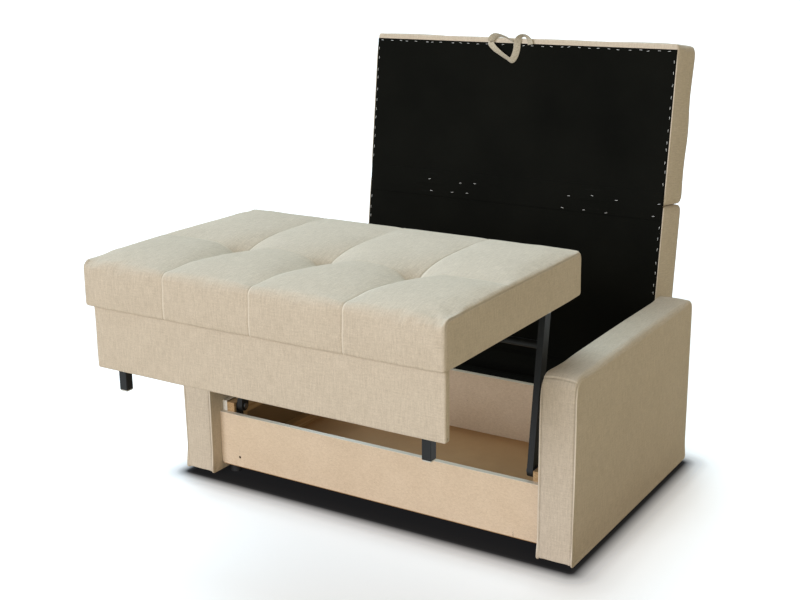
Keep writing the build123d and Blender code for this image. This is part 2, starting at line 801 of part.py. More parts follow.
def build():
    """All the pieces, by name."""
    fold_lower_ends = (hinge_end_gap, lower_length - section_gap)
    fold_upper_ends = (lower_length + section_gap, lower_length + upper_length)
    base, tongue, pin = fall_hinge_pieces()
    x = fold_hinge_spacing / 2
    lower_knuckles, upper_knuckles = fold_knuckles(x)
    lower_leaf = fold_leaf(x, -1, lower_knuckles)
    upper_leaf = fold_leaf(x, 1, upper_knuckles)
    pieces = {}
    pieces.update(pair("armrest_cover", armrest_cover()))
    pieces.update(pair("armrest_frame", armrest_frame()))
    pieces["armrest_glides"] = armrest_glides()
    pieces["armrest_bolts"] = armrest_bolts()
    pieces["box_front"] = box_front()
    pieces["box_back"] = box_back()
    pieces.update(pair("box_side", box_side()))
    pieces["edge_bands"] = edge_bands()
    pieces.update(pair("side_rails", side_rails()))
    pieces["box_floor"] = box_floor()
    pieces["floor_bearers"] = floor_bearers()
    pieces["box_feet"] = box_feet()
    pieces["seat_pads"] = seat_pads()
    pieces["rear_beams"] = rear_beams()
    pieces["rear_shelf"] = rear_shelf()
    pieces["rear_cover"] = rear_cover()
    pieces.update(pair("pivot_bracket", pivot_bracket()))
    pieces["pivot_bolts"] = pivot_bolts()
    pieces.update(pair("fall_hinge_base", base))
    pieces["fall_hinge_pins"] = group(pin, mirrored(pin))
    pieces.update(pair("lift_arm", arm()))
    pieces["arm_bushes"] = arm_bushes()
    pieces["cross_tube"] = cross_tube()
    pieces["seat_cushion"] = seat_cushion()
    pieces["seat_frame"] = seat_frame()
    pieces["seat_deck"] = seat_deck()
    pieces["seat_lining"] = seat_lining()
    pieces.update(pair("seat_hanger", seat_hanger()))
    pieces["seat_pivot_bolts"] = seat_pivot_bolts()
    pieces["skirt_board"] = skirt_board()
    pieces["skirt_cover"] = skirt_cover()
    pieces.update(pair("seat_leg", seat_leg()))
    pieces["leg_glides"] = leg_glides()
    pieces["lower_back_cushion"] = section_cushion(*fold_lower_ends, back_end_roll, back_roll)
    pieces["lower_back_frame"] = section_frame(*fold_lower_ends)
    pieces["lower_back_lining"] = section_lining(*fold_lower_ends)
    pieces.update(pair("fall_hinge_tongue", tongue))
    pieces["fold_hinge_lower_leaves"] = group(lower_leaf, mirrored(lower_leaf))
    pieces["fold_hinge_pins"] = fold_pins()
    pieces["upper_back_cushion"] = section_cushion(*fold_upper_ends, back_roll, back_end_roll)
    pieces["upper_back_frame"] = section_frame(*fold_upper_ends)
    upper_low, upper_high = fold_upper_ends
    pieces["upper_back_lining"] = section_lining(upper_low, upper_high - back_lining_drop)
    pieces["fold_hinge_upper_leaves"] = group(upper_leaf, mirrored(upper_leaf))
    pieces["pull_strap"] = pull_strap()
    return pieces


pieces = build()
boxes = [piece.bounding_box() for piece in pieces.values()]
front = min(box.min.Y for box in boxes)
rear = max(box.max.Y for box in boxes)
shift = -(front + rear) / 2
os.makedirs("parts", exist_ok=True)
for name, piece in pieces.items():
    export_step(Pos(0, shift, 0) * piece, f"parts/{name}.step")
fold = back_place * Pos(0, 0, lower_length) * Location((0, 0, 0))
print("shift of Y:", round(shift, 3))
print("arm pivot Y Z:", round(pivot_y + shift, 3), pivot_z)
print("seat pivot Y Z:", round(top_pivot_y + shift, 3), round(top_pivot_z, 3))
print("back hinge Y Z:", round(back_hinge_y + shift, 3), back_hinge_z)
print("fold hinge Y Z:", round(fold.position.Y + shift, 3), round(fold.position.Z, 3))
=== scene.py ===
"""A two-seat sofa bed caught half way between sofa and bed, dressed for a studio picture."""

import json
import logging
import math
from dataclasses import dataclass, replace
from enum import Enum
from typing import Callable, Optional, Sequence, Union

import bmesh
import bpy
import numpy as np
from bpy.types import ID, Material, Mesh, Node, NodeSocket, Object
from mathutils import Matrix, Vector


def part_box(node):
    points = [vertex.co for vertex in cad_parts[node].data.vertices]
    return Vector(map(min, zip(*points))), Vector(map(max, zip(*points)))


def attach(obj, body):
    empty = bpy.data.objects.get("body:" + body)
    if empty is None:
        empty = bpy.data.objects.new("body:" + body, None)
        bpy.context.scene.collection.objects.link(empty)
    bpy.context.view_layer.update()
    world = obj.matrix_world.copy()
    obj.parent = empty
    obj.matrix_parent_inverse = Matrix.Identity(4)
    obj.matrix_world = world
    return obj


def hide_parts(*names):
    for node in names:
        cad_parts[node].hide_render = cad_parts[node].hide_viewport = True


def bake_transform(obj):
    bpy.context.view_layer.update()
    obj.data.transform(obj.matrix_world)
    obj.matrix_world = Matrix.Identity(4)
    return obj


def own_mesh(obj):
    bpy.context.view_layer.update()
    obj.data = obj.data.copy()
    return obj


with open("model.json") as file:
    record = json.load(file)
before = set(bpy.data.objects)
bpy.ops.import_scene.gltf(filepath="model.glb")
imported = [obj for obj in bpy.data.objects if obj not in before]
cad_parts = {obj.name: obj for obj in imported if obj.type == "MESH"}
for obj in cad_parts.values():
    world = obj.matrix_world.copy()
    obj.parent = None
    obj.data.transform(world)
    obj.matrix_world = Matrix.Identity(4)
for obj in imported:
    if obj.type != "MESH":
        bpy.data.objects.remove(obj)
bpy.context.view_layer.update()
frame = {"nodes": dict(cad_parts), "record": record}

log = logging.getLogger("sofa_bed")

CLOTH_MAP = "Cloth"
# point attribute for painted highlight and painted shade along seams
SEAM_HIGHLIGHT_SHADE_MASK = "seam"
CORNER_STEPS = 60
ROUND_STEPS = 9

Array = np.ndarray
Vector3 = tuple[float, float, float]
Colour = tuple[float, float, float]


# Numbers along a line

def smooth(x: Array, low: float, high: float) -> Array:
    """Rises from 0 at low to 1 at high, level at both ends; high may lie below low."""
    share = np.clip((x - low) / (high - low), 0, 1)
    return share * share * (3 - 2 * share)


def bump(x: Array, width: float, power: float = 2.0) -> Array:
    """A bell: 1 at zero, falling as exp(-(|x| / width) ** power)."""
    return np.exp(-(np.abs(x) / width) ** power)


def eased(x: Array, stations: Sequence[tuple[float, float]]) -> Array:
    """A curve through stations, level at each of them.

    Args:
        x: places to read.
        stations: (place, value) pairs in rising order of place.

    Returns:
        The value at every place, held past both ends.
    """
    result = np.full(np.shape(x), stations[0][1], float)
    for (x0, v0), (x1, v1) in zip(stations, stations[1:]):
        result = result + (v1 - v0) * smooth(x, x0, x1)
    return result


def graded(start: float, end: float, marks: Sequence[float], coarse: Union[float, Callable[[Array], Array]],
           fine: float, reach: float) -> Array:
    """Places from start to end, close together near the marks and wide apart elsewhere.

    The wanted spacing is turned into a density, which is added up along the line and cut into equal
    shares. The place nearest to each mark is then moved onto it.

    Args:
        start: first place.
        end: last place.
        marks: places that need fine steps.
        coarse: spacing far from every mark, or what gives it at each place.
        fine: spacing at a mark.
        reach: how far from a mark the fine spacing lasts.

    Returns:
        The places in rising order.
    """
    line = np.linspace(start, end, 6000)
    near = np.zeros_like(line)
    for mark in marks:
        near = np.maximum(near, bump(line - mark, reach))
    wide = coarse(line) if callable(coarse) else coarse
    spacing = wide - (wide - fine) * near
    total = np.concatenate([[0], np.cumsum((1 / spacing)[1:] * np.diff(line))])
    count = max(2, int(round(total[-1])))
    places = np.interp(np.linspace(0, total[-1], count + 1), total, line)
    for mark in marks:
        if start < mark < end:
            places[np.argmin(np.abs(places - mark))] = mark
    return places


def nearest(x: Array, marks: Sequence[float]) -> Array:
    """The signed distance from the nearest of some marks."""
    gaps = np.stack([x - mark for mark in marks])
    return np.take_along_axis(gaps, np.abs(gaps).argmin(0)[None], 0)[0]


def unit(vectors: Array) -> Array:
    """The same directions with length 1."""
    return vectors / np.maximum(np.linalg.norm(vectors, axis=-1, keepdims=True), 1e-12)


def resampled(line: Array, pitch: float) -> Array:
    """Even places along a polyline.

    Args:
        line: its points, one a row.
        pitch: about how far apart the places are.

    Returns:
        Fractional indices into the points.
    """
    run = np.concatenate([[0], np.cumsum(np.linalg.norm(np.diff(line, axis=0), axis=1))])
    count = max(1, int(run[-1] / pitch))
    return np.interp((np.arange(count) + 0.5) * run[-1] / count, run, np.arange(len(line)))


def read_rows(values: Array, places: Array) -> Array:
    """Rows of an array read between them, mixed straight from the two nearest.

    Args:
        values: the array.
        places: fractional row indices.

    Returns:
        One row for each place.
    """
    low = np.clip(places.astype(int), 0, len(values) - 2)
    share = (places - low)[:, None]
    return values[low] * (1 - share) + values[low + 1] * share


def read_smooth(values: Array, places: Array) -> Array:
    """Like read_rows, but each row is a cubic mix of the four nearest.

    Args:
        values: the array.
        places: fractional row indices.

    Returns:
        One row for each place.
    """
    low = np.clip(np.floor(places).astype(int), 0, len(values) - 2)
    t = places - low
    near = np.clip(low[:, None] + np.arange(-1, 3), 0, len(values) - 1)
    weights = 0.5 * np.stack([2 * t ** 2 - t - t ** 3, 2 - 5 * t ** 2 + 3 * t ** 3, t + 4 * t ** 2 - 3 * t ** 3,
                              t ** 3 - t ** 2], axis=1)
    return np.einsum("nk,nk...->n...", weights, values[near])


# Shader maths

Operand = Union["Value", float]


class Value:
    """One number in a material's node tree, with Python's own arithmetic."""

    def __init__(self, recipe: "Recipe", socket: NodeSocket) -> None:
        """Wraps an output socket of the recipe's tree."""
        self.recipe = recipe
        self.socket = socket

    def apply(self, operation: str, *others: Operand) -> "Value":
        """Adds a Math node with this value as its first input and gives its result."""
        values = dict(enumerate([self, *others]))
        return self.recipe.value("Math", values, operation=operation)

    def __add__(self, other: Operand) -> "Value":
        """Sum."""
        return self.apply("ADD", other)

    def __mul__(self, other: Operand) -> "Value":
        """Product."""
        return self.apply("MULTIPLY", other)

    def __sub__(self, other: Operand) -> "Value":
        """Difference."""
        return self.apply("SUBTRACT", other)

    def __rsub__(self, other: float) -> "Value":
        """A plain number less this value."""
        return self.recipe.value("Math", {0: other, 1: self}, operation="SUBTRACT")

    def __pow__(self, other: Operand) -> "Value":
        """Power."""
        return self.apply("POWER", other)

    def above(self, edge: float, softness: float) -> "Value":
        """0 below edge, 1 past edge + softness, straight between."""
        return self.recipe.value("MapRange", {0: self, 1: edge, 2: edge + softness, 3: 0.0, 4: 1.0})


class Recipe:
    """The node tree of one material, or of the world."""

    def __init__(self, name: str, world: bool = False) -> None:
        """Starts a new tree that holds only its output.

        Args:
            name: the new material's or world's name.
            world: whether it is a world.
        """
        self.owner = (bpy.data.worlds if world else bpy.data.materials).new(name)
        self.owner.use_nodes = True
        self.tree = self.owner.node_tree
        self.tree.nodes.clear()
        self.output = self.tree.nodes.new(f"ShaderNodeOutput{'World' if world else 'Material'}")

    def node(self, kind: str, values: Optional[dict] = None, **settings: object) -> Node:
        """Adds a node.

        Args:
            kind: the node's type, without its common start.
            values: numbers, colours, vectors or links by socket name or index.
            settings: its properties, set first; stops are (position, colour) pairs of a ramp.

        Returns:
            The new node.
        """
        node = self.tree.nodes.new("ShaderNode" + kind)
        for key, setting in settings.items():
            if key == "stops":
                ramp = node.color_ramp.elements
                while len(ramp) < len(setting):
                    ramp.new(0.5)
                for stop, (position, colour) in zip(ramp, setting):
                    stop.position = position
                    stop.color = (*colour, 1)
            else:
                setattr(node, key, setting)
        for key, value in (values or {}).items():
            socket = node.inputs[key]
            source = value.socket if isinstance(value, Value) else value
            if isinstance(source, NodeSocket):
                self.tree.links.new(source, socket)
            elif isinstance(value, tuple) and socket.type == "RGBA":
                socket.default_value = (*value, 1)
            else:
                socket.default_value = value
        return node

    def value(self, kind: str, values: Optional[dict] = None, out: Union[int, str] = 0, **settings: object) -> Value:
        """Adds a node and wraps one of its outputs as a number."""
        return Value(self, self.node(kind, values, **settings).outputs[out])

    def cloth_place(self) -> NodeSocket:
        """The piece's own cloth map, in metres."""
        return self.node("UVMap", uv_map=CLOTH_MAP).outputs[0]

    def object_place(self) -> NodeSocket:
        """Object coordinates, in metres."""
        return self.node("TexCoord").outputs["Object"]

    def stretched(self, place: NodeSocket, scale: Vector3) -> NodeSocket:
        """A place multiplied along each axis."""
        return self.node("Mapping", {"Vector": place, "Scale": scale}).outputs[0]

    def scaled(self, place: NodeSocket, scale: Union[float, Vector3]) -> dict:
        """The place and scale of a pattern, which takes one scale or one along each axis."""
        even = not isinstance(scale, tuple)
        return {"Vector": place if even else self.stretched(place, scale), "Scale": scale if even else 1.0}

    def noise(self, place: NodeSocket, scale: Union[float, Vector3], detail: float = 2.0,
              roughness: float = 0.5) -> Value:
        """Cloudy noise between about 0.2 and 0.8."""
        values = {**self.scaled(place, scale), "Detail": detail, "Roughness": roughness}
        return self.value("TexNoise", values, "Fac")

    def cells(self, place: NodeSocket, scale: Union[float, Vector3], out: str) -> Value:
        """A Voronoi pattern: each cell's own tone as Color, or the Distance from its middle."""
        return self.value("TexVoronoi", self.scaled(place, scale), out)

    def parts(self, place: NodeSocket) -> tuple[Value, Value, Value]:
        """A place's three coordinates."""
        node = self.node("SeparateXYZ", {0: place})
        return tuple(Value(self, socket) for socket in node.outputs)

    def mixed(self, share: Operand, first: Union[Colour, NodeSocket],
              second: Union[Colour, NodeSocket]) -> NodeSocket:
        """First colour where share is 0, second where it is 1."""
        return self.node("Mix", {0: share, 6: first, 7: second}, data_type="RGBA").outputs[2]

    def bumped(self, height: Value, distance: float, strength: float = 1.0) -> NodeSocket:
        """A normal from a height given in shares of distance."""
        return self.node("Bump", {"Height": height, "Distance": distance, "Strength": strength}).outputs[0]

    def surface(self, colour: NodeSocket, roughness: Union[Value, float],
                normal: Optional[NodeSocket] = None, **plain: Union[float, Colour]) -> Material:
        """Ends the recipe in one Principled shader.

        Args:
            colour: base colour.
            roughness: a value or a plain number.
            normal: a bumped normal, if any.
            plain: plain numbers for further sockets, named with underscores.

        Returns:
            The finished material.
        """
        values = {key.replace("_", " "): value for key, value in plain.items()}
        values.update({"Base Color": colour, "Roughness": roughness})
        if normal is not None:
            values["Normal"] = normal
        return self.end(self.node("BsdfPrincipled", values))

    def seen(self) -> Value:
        """1 for camera, glossy and transmission rays, 0 for the others."""
        rays = self.node("LightPath").outputs
        camera, glossy, through = (Value(self, rays[f"Is {kind} Ray"]) for kind in ("Camera", "Glossy", "Transmission"))
        return camera.apply("MAXIMUM", glossy).apply("MAXIMUM", through)

    def end(self, shader: Node) -> ID:
        """Links a shader to the output and gives the finished material or world."""
        self.tree.links.new(shader.outputs[0], self.output.inputs[0])
        return self.owner


# Finishes

class Grain(Enum):
    """The axis that a board's or batten's grain runs along."""

    ACROSS = 0
    DEEP = 1


class Finish:
    """What makes one material."""

    name: str
    on_cloth = False

    def material(self) -> Material:
        """Starts a recipe with its coordinates, which the finish completes.

        Returns:
            The new material.
        """
        r = Recipe(self.name)
        return self.mix(r, r.cloth_place() if self.on_cloth else r.object_place())

    def mix(self, r: Recipe, place: NodeSocket) -> Material:
        """Completes the recipe.

        Args:
            r: the recipe.
            place: its coordinates, in metres.

        Returns:
            The new material.
        """
        raise NotImplementedError


@dataclass(frozen=True)
class Upholstery(Finish):
    """Flat-woven melange cloth over foam: fine weave, streaked yarns, painted highlight and shade at seams.

    The seam mask runs from -1 in a seam's line of painted shade to 1 on the lip of painted highlight beside it.
    """

    name: str = "upholstery_cloth"
    pale: Colour = (0.735, 0.642, 0.522)
    deep: Colour = (0.500, 0.424, 0.330)
    # seam is the painted highlight of a lit seam lip; shade is the painted shade in a seam's line
    seam: Colour = (0.900, 0.825, 0.705)
    shade: Colour = (0.290, 0.235, 0.165)
    thread_pitch: float = 0.0011
    on_cloth = True

    def mix(self, r: Recipe, place: NodeSocket) -> Material:
        """Cloth whose yarns follow its own map."""
        wave = math.tau / self.thread_pitch
        u, v, _ = r.parts(place)
        warp = (u * wave).apply("SINE") * 0.5 + 0.5
        weft = (v * wave).apply("SINE") * 0.5 + 0.5
        over = r.noise(place, 420, 1.0)
        long_streaks = r.noise(place, (210, 26, 1), 4.0, 0.68)
        cross_streaks = r.noise(place, (30, 190, 1), 4.0, 0.68)
        flecks = r.noise(place, 240, 4.0, 0.75)
        clouds = r.noise(place, 8, 3.0)
        yarn = long_streaks * 0.56 + cross_streaks * 0.34 + flecks * 0.66 + clouds * 0.14 - 0.35
        tone = yarn.above(0.28, 0.44)
        cloth = r.mixed(tone, self.deep, self.pale)
        mask = r.value("Attribute", out="Fac", attribute_name=SEAM_HIGHLIGHT_SHADE_MASK)
        # the seam mask mixes in painted highlight where it is positive and painted shade where it is negative
        colour = r.mixed(mask * -0.7, r.mixed(mask * 0.8, cloth, self.seam), self.shade)
        height = warp * weft * 0.6 + over * 0.5 + flecks * 0.5 + long_streaks * 0.5 + cross_streaks * 0.5
        return r.surface(colour, flecks * 0.12 + 0.82, r.bumped(height, 0.00045, 0.85),
                         Sheen_Weight=0.16, Sheen_Roughness=0.5, Sheen_Tint=(0.92, 0.95, 1.0),
                         Specular_IOR_Level=0.15)


@dataclass(frozen=True)
class Webbing(Finish):
    """Narrow strap sewn from the upholstery cloth."""

    name: str = "strap_cloth"
    pale: Colour = (0.640, 0.580, 0.465)
    deep: Colour = (0.400, 0.352, 0.262)
    on_cloth = True

    def mix(self, r: Recipe, place: NodeSocket) -> Material:
        """Cloth with its ribs along the strap."""
        u, v, _ = r.parts(place)
        ribs = (u * (math.tau / 0.0011)).apply("SINE") * 0.5 + 0.5
        picks = (v * (math.tau / 0.0014)).apply("SINE") * 0.5 + 0.5
        flecks = r.noise(place, 360, 3.0, 0.65)
        colour = r.mixed(flecks.above(0.34, 0.30), self.deep, self.pale)
        height = ribs * picks * 0.7 + flecks * 0.5
        return r.surface(colour, 0.85, r.bumped(height, 0.0003, 0.8), Sheen_Weight=0.25, Sheen_Roughness=0.5,
                         Specular_IOR_Level=0.25)


@dataclass(frozen=True)
class LiningCloth(Finish):
    """Black non-woven cloth, bonded in a grid of small dimples."""

    name: str = "black_lining"
    dark: Colour = (0.0030, 0.0032, 0.0025)
    light: Colour = (0.0072, 0.0075, 0.0060)
    dimple_pitch: float = 0.0016

    def mix(self, r: Recipe, place: NodeSocket) -> Material:
        """Dimpled fibres, in object coordinates."""
        wave = math.tau / self.dimple_pitch
        x, _, z = r.parts(place)
        dimples = (x * wave).apply("SINE") * (z * wave).apply("SINE")
        fibres = r.noise(place, (700, 700, 260), 3.0, 0.7)
        clouds = r.noise(place, 5, 3.0)
        colour = r.mixed((fibres * 0.6 + clouds * 0.6).above(0.38, 0.42), self.dark, self.light)
        return r.surface(colour, clouds * 0.10 + 0.88, r.bumped(dimples * 0.4 + fibres, 0.0003, 0.7),
                         Specular_IOR_Level=0.05)


@dataclass(frozen=True)
class ParticleBoard(Finish):
    """Raw particle board: pale flakes of every tone, with dark specks of bark."""

    name: str = "raw_particle_board"
    pale: Colour = (0.785, 0.640, 0.478)
    deep: Colour = (0.600, 0.460, 0.315)
    speck: Colour = (0.240, 0.145, 0.080)

    def mix(self, r: Recipe, place: NodeSocket) -> Material:
        """Flakes from cells of three sizes, in object coordinates."""
        swirl = r.node("TexNoise", {"Vector": place, "Scale": 120.0}).outputs["Color"]
        drift = r.stretched(swirl, (0.004, 0.004, 0.004))
        bent = r.node("VectorMath", {0: place, 1: drift}, operation="ADD").outputs[0]
        chips = r.cells(bent, (150, 260, 300), "Color")
        fine = r.cells(bent, (520, 700, 640), "Color")
        dust = r.noise(place, 700, 2.0, 0.6)
        clouds = r.noise(place, 7, 3.0)
        tone = (chips * 0.30 + fine * 0.24 + dust * 0.30 + clouds * 0.42).above(0.30, 0.62)
        flakes = r.mixed(tone, self.deep, self.pale)
        specks = r.noise(place, 260, 2.0, 0.6).above(0.70, 0.06)
        colour = r.mixed(specks * 0.7, flakes, self.speck)
        return r.surface(colour, dust * 0.1 + 0.72, r.bumped(chips * 0.4 + dust, 0.0003, 0.6),
                         Specular_IOR_Level=0.3)


@dataclass(frozen=True)
class FacedBoard(Finish):
    """White melamine facing or edge band with a faint orange peel, brown on the box's inside."""

    name: str
    colour: Colour = (0.860, 0.835, 0.760)
    worn: Colour = (0.700, 0.675, 0.600)
    inside: Colour = (0.190, 0.125, 0.062)
    inner_plane: float = 0.0

    def mix(self, r: Recipe, place: NodeSocket) -> Material:
        """Nearly plain white with handling marks."""
        marks = r.noise(place, (12, 30, 30), 4.0, 0.65)
        peel = r.noise(place, 480, 1.0)
        white = r.mixed(marks.above(0.56, 0.20), self.colour, self.worn)
        past_plane = r.parts(place)[0].apply("ABSOLUTE").above(self.inner_plane + 0.0002, 0.0002)
        colour = r.mixed(past_plane, r.mixed(marks, self.inside, tuple(1.3 * c for c in self.inside)), white)
        return r.surface(colour, marks * 0.2 + 0.32, r.bumped(peel, 0.00008, 0.5))


@dataclass(frozen=True)
class Softwood(Finish):
    """Planed softwood: growth rings along the grain, fine pores and a few knots."""

    name: str
    grain: Grain
    pale: Colour = (0.560, 0.385, 0.205)
    deep: Colour = (0.340, 0.200, 0.085)
    knot: Colour = (0.150, 0.070, 0.030)

    def scale(self, along: float, across: float) -> Vector3:
        """A pattern's scale along the grain and across it."""
        return tuple(along if axis == self.grain.value else across for axis in range(3))

    def mix(self, r: Recipe, place: NodeSocket) -> Material:
        """Rings that wander along the grain's axis, in object coordinates."""
        stretched = r.stretched(place, self.scale(1.1, 34.0))
        knots = r.cells(place, self.scale(3.5, 12.0), "Distance")
        near_knot = 1 - knots.above(0.08, 0.16)
        wander = r.noise(stretched, 1.0, 3.0, 0.45) + near_knot * 0.5
        rings = (wander * 46).apply("SINE") * 0.5 + 0.5
        pores = r.noise(place, self.scale(30.0, 1400.0), 2.0, 0.6)
        tone = (rings ** 1.8) * 0.62 + pores * 0.38
        wood = r.mixed(1 - tone, self.pale, self.deep)
        colour = r.mixed((1 - knots.above(0.05, 0.05)) * 0.8, wood, self.knot)
        return r.surface(colour, pores * 0.2 + 0.52, r.bumped(pores + rings * 0.2, 0.0002, 0.5),
                         Specular_IOR_Level=0.35)


@dataclass(frozen=True)
class Hardboard(Finish):
    """Thin brown pressed fibre board, smooth on its face."""

    name: str = "brown_hardboard"
    pale: Colour = (0.480, 0.275, 0.120)
    deep: Colour = (0.320, 0.170, 0.066)

    def mix(self, r: Recipe, place: NodeSocket) -> Material:
        """Matted short fibres."""
        fibres = r.noise(place, (420, 900, 900), 4.0, 0.7)
        clouds = r.noise(place, 6, 4.0)
        colour = r.mixed((fibres * 0.6 + clouds * 0.6).above(0.36, 0.46), self.deep, self.pale)
        return r.surface(colour, fibres * 0.2 + 0.44, r.bumped(fibres, 0.00015, 0.5), Specular_IOR_Level=0.4)


@dataclass(frozen=True)
class TwoTone(Finish):
    """Two colours mixed by noise in object coordinates, with a grain as its relief.

    tone is the noise that mixes them: its scale, along each axis where they differ, its detail and
    its roughness. change says where the second colour starts and over how much noise it comes in.
    grain is the scale of a finer noise for the relief; without one the tone is the relief too.
    relief is the relief's depth in metres and its strength. uneven is how much the tone adds to
    the surface's roughness. more holds plain numbers for further sockets.
    """

    name: str
    first: Colour
    second: Colour
    tone: tuple[Union[float, Vector3], float, float]
    change: tuple[float, float]
    relief: tuple[float, float]
    roughness: float
    uneven: float = 0.0
    grain: Optional[float] = None
    more: tuple[tuple[str, float], ...] = ()

    def mix(self, r: Recipe, place: NodeSocket) -> Material:
        """Both tones and the relief."""
        tone = r.noise(place, *self.tone)
        grain = r.noise(place, self.grain, 2.0) if self.grain else tone
        colour = r.mixed(tone.above(*self.change), self.first, self.second)
        roughness = tone * self.uneven + self.roughness if self.uneven else self.roughness
        return r.surface(colour, roughness, r.bumped(grain, *self.relief), **dict(self.more))


def painted_steel(name: str, colour: Colour, rubbed: Colour, roughness: float) -> TwoTone:
    """Satin powder coat with a fine orange peel, rubbed a little brighter in places."""
    return TwoTone(name, colour, rubbed, ((60, 60, 14), 5.0, 0.7), (0.52, 0.26), (0.00012, 0.6), roughness, 0.24, 900.0,
                   (("Specular_IOR_Level", 0.26),))


def moulded(name: str, colour: Colour, scuffed: Colour, roughness: float = 0.5) -> TwoTone:
    """Moulded plastic, rubber or nylon with a fine spark-eroded grain."""
    return TwoTone(name, colour, scuffed, (45.0, 5.0, 0.7), (0.52, 0.22), (0.0001, 0.7), roughness, 0.2, 1600.0)


@dataclass(frozen=True)
class PlatedSteel(Finish):
    """Zinc plating, crystalline and a little dull."""

    name: str = "zinc_plate"
    pale: Colour = (0.640, 0.640, 0.620)
    deep: Colour = (0.400, 0.410, 0.410)

    def mix(self, r: Recipe, place: NodeSocket) -> Material:
        """Spangle cells over fine brush marks."""
        spangle = r.cells(place, 420.0, "Color")
        marks = r.noise(place, (300, 1500, 1500), 3.0)
        colour = r.mixed(spangle * 0.5 + marks * 0.5, self.deep, self.pale)
        return r.surface(colour, marks * 0.3 + 0.22, r.bumped(marks, 0.00006, 0.5), Metallic=1.0)


class Finishes:
    """Every finish of the sofa bed, made once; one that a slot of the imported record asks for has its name."""

    def __init__(self) -> None:
        """Makes the materials."""
        self.fabric = Upholstery().material()
        self.strap = Webbing().material()
        self.lining = LiningCloth().material()
        self.lining_board = LiningCloth("black_covered_board", (0.0045, 0.0047, 0.0040),
                                         (0.0100, 0.0104, 0.0090)).material()
        self.chipboard = ParticleBoard().material()
        self.white_board = FacedBoard("white_faced_board", inner_plane=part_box("box_side_right")[0][0]).material()
        self.edge_band = FacedBoard("white_edge_band", (0.800, 0.725, 0.600), (0.690, 0.620, 0.505),
                                    inner_plane=-1.0).material()
        self.pine = Softwood("softwood_across", Grain.ACROSS).material()
        self.wood_deep = Softwood("softwood_deep", Grain.DEEP).material()
        self.hardboard = Hardboard().material()
        self.black_steel = painted_steel("black_powder_coat", (0.0065, 0.0068, 0.0060), (0.0190, 0.0190, 0.0170),
                                         0.44).material()
        self.black_leg = painted_steel("black_leg_coat", (0.0050, 0.0052, 0.0050), (0.0150, 0.0150, 0.0145),
                                       0.36).material()
        self.zinc = PlatedSteel().material()
        self.dull_zinc = PlatedSteel("dull_zinc_plate", (0.170, 0.170, 0.165), (0.070, 0.070, 0.068)).material()
        self.black_plastic = moulded("black_moulded_plastic", (0.012, 0.012, 0.012), (0.030, 0.030, 0.029)).material()
        self.pale_plastic = moulded("pale_moulded_plastic", (0.560, 0.545, 0.500), (0.440, 0.425, 0.385)).material()
        self.bush = moulded("nylon_bush", (0.080, 0.080, 0.078), (0.130, 0.130, 0.125), 0.42).material()
        self.felt = TwoTone("pressed_felt", (0.190, 0.170, 0.140), (0.360, 0.330, 0.285), (900.0, 5.0, 0.8),
                            (0.36, 0.28), (0.0006, 0.9), 0.95, more=(("Sheen_Weight", 0.3),)).material()
        self.thread = TwoTone("sewing_thread", (0.600, 0.510, 0.390), (0.820, 0.730, 0.590), (2600.0, 1.0, 0.5),
                              (0.36, 0.28), (0.0001, 0.6), 0.55, more=(("Sheen_Weight", 0.2),)).material()
        self.staple = TwoTone("staple_wire", (0.520, 0.515, 0.495), (0.800, 0.795, 0.770), (1500.0, 2.0, 0.5),
                              (0.36, 0.28), (0.00005, 0.5), 0.30, 0.2, more=(("Metallic", 0.55),)).material()
        # dark finish whose colour is painted shade inside the hole, the crack and the scratch
        self.recess = TwoTone("board_painted_recess_shade", (0.030, 0.016, 0.009), (0.160, 0.092, 0.048), (1200.0, 4.0, 0.8),
                              (0.46, 0.24), (0.0003, 0.8), 0.95, more=(("Specular_IOR_Level", 0.1),)).material()


# Meshes

def new_piece(name: str, points: Array, faces: Array, material: Material,
              soft: bool = True) -> Object:
    """A mesh object from arrays.

    Args:
        name: the piece's name.
        points: corners, one a row, in metres.
        faces: corner indices, one face a row, all with as many corners.
        material: its finish.
        soft: whether its faces are shaded smooth.

    Returns:
        The new object, at the origin.
    """
    mesh = bpy.data.meshes.new(name)
    count, sides = faces.shape
    mesh.vertices.add(len(points))
    mesh.vertices.foreach_set("co", np.ascontiguousarray(points, np.float32).ravel())
    mesh.loops.add(count * sides)
    mesh.loops.foreach_set("vertex_index", faces.astype(np.int32).ravel())
    mesh.polygons.add(count)
    mesh.polygons.foreach_set("loop_start", np.arange(0, count * sides, sides, dtype=np.int32))
    mesh.polygons.foreach_set("use_smooth", np.full(count, soft))
    mesh.update(calc_edges=True)
    mesh.materials.append(material)
    piece = bpy.data.objects.new(name, mesh)
    bpy.context.scene.collection.objects.link(piece)
    return piece


def grid_faces(rows: int, columns: int, closed: bool, flip: bool) -> Array:
    """Four-cornered faces of a grid of points, one a row.

    Args:
        rows: points along the first parameter.
        columns: points along the second.
        closed: whether the last column joins the first.
        flip: whether the corners run the other way round.

    Returns:
        Corner indices, one face a row.
    """
    last = columns if closed else columns - 1
    i, j = np.meshgrid(np.arange(rows - 1), np.arange(last), indexing="ij")
    i, j = i.ravel(), j.ravel()
    k = (j + 1) % columns
    corners = [i * columns + j, (i + 1) * columns + j, (i + 1) * columns + k, i * columns + k]
    return np.stack(corners[::-1] if flip else corners, axis=1)


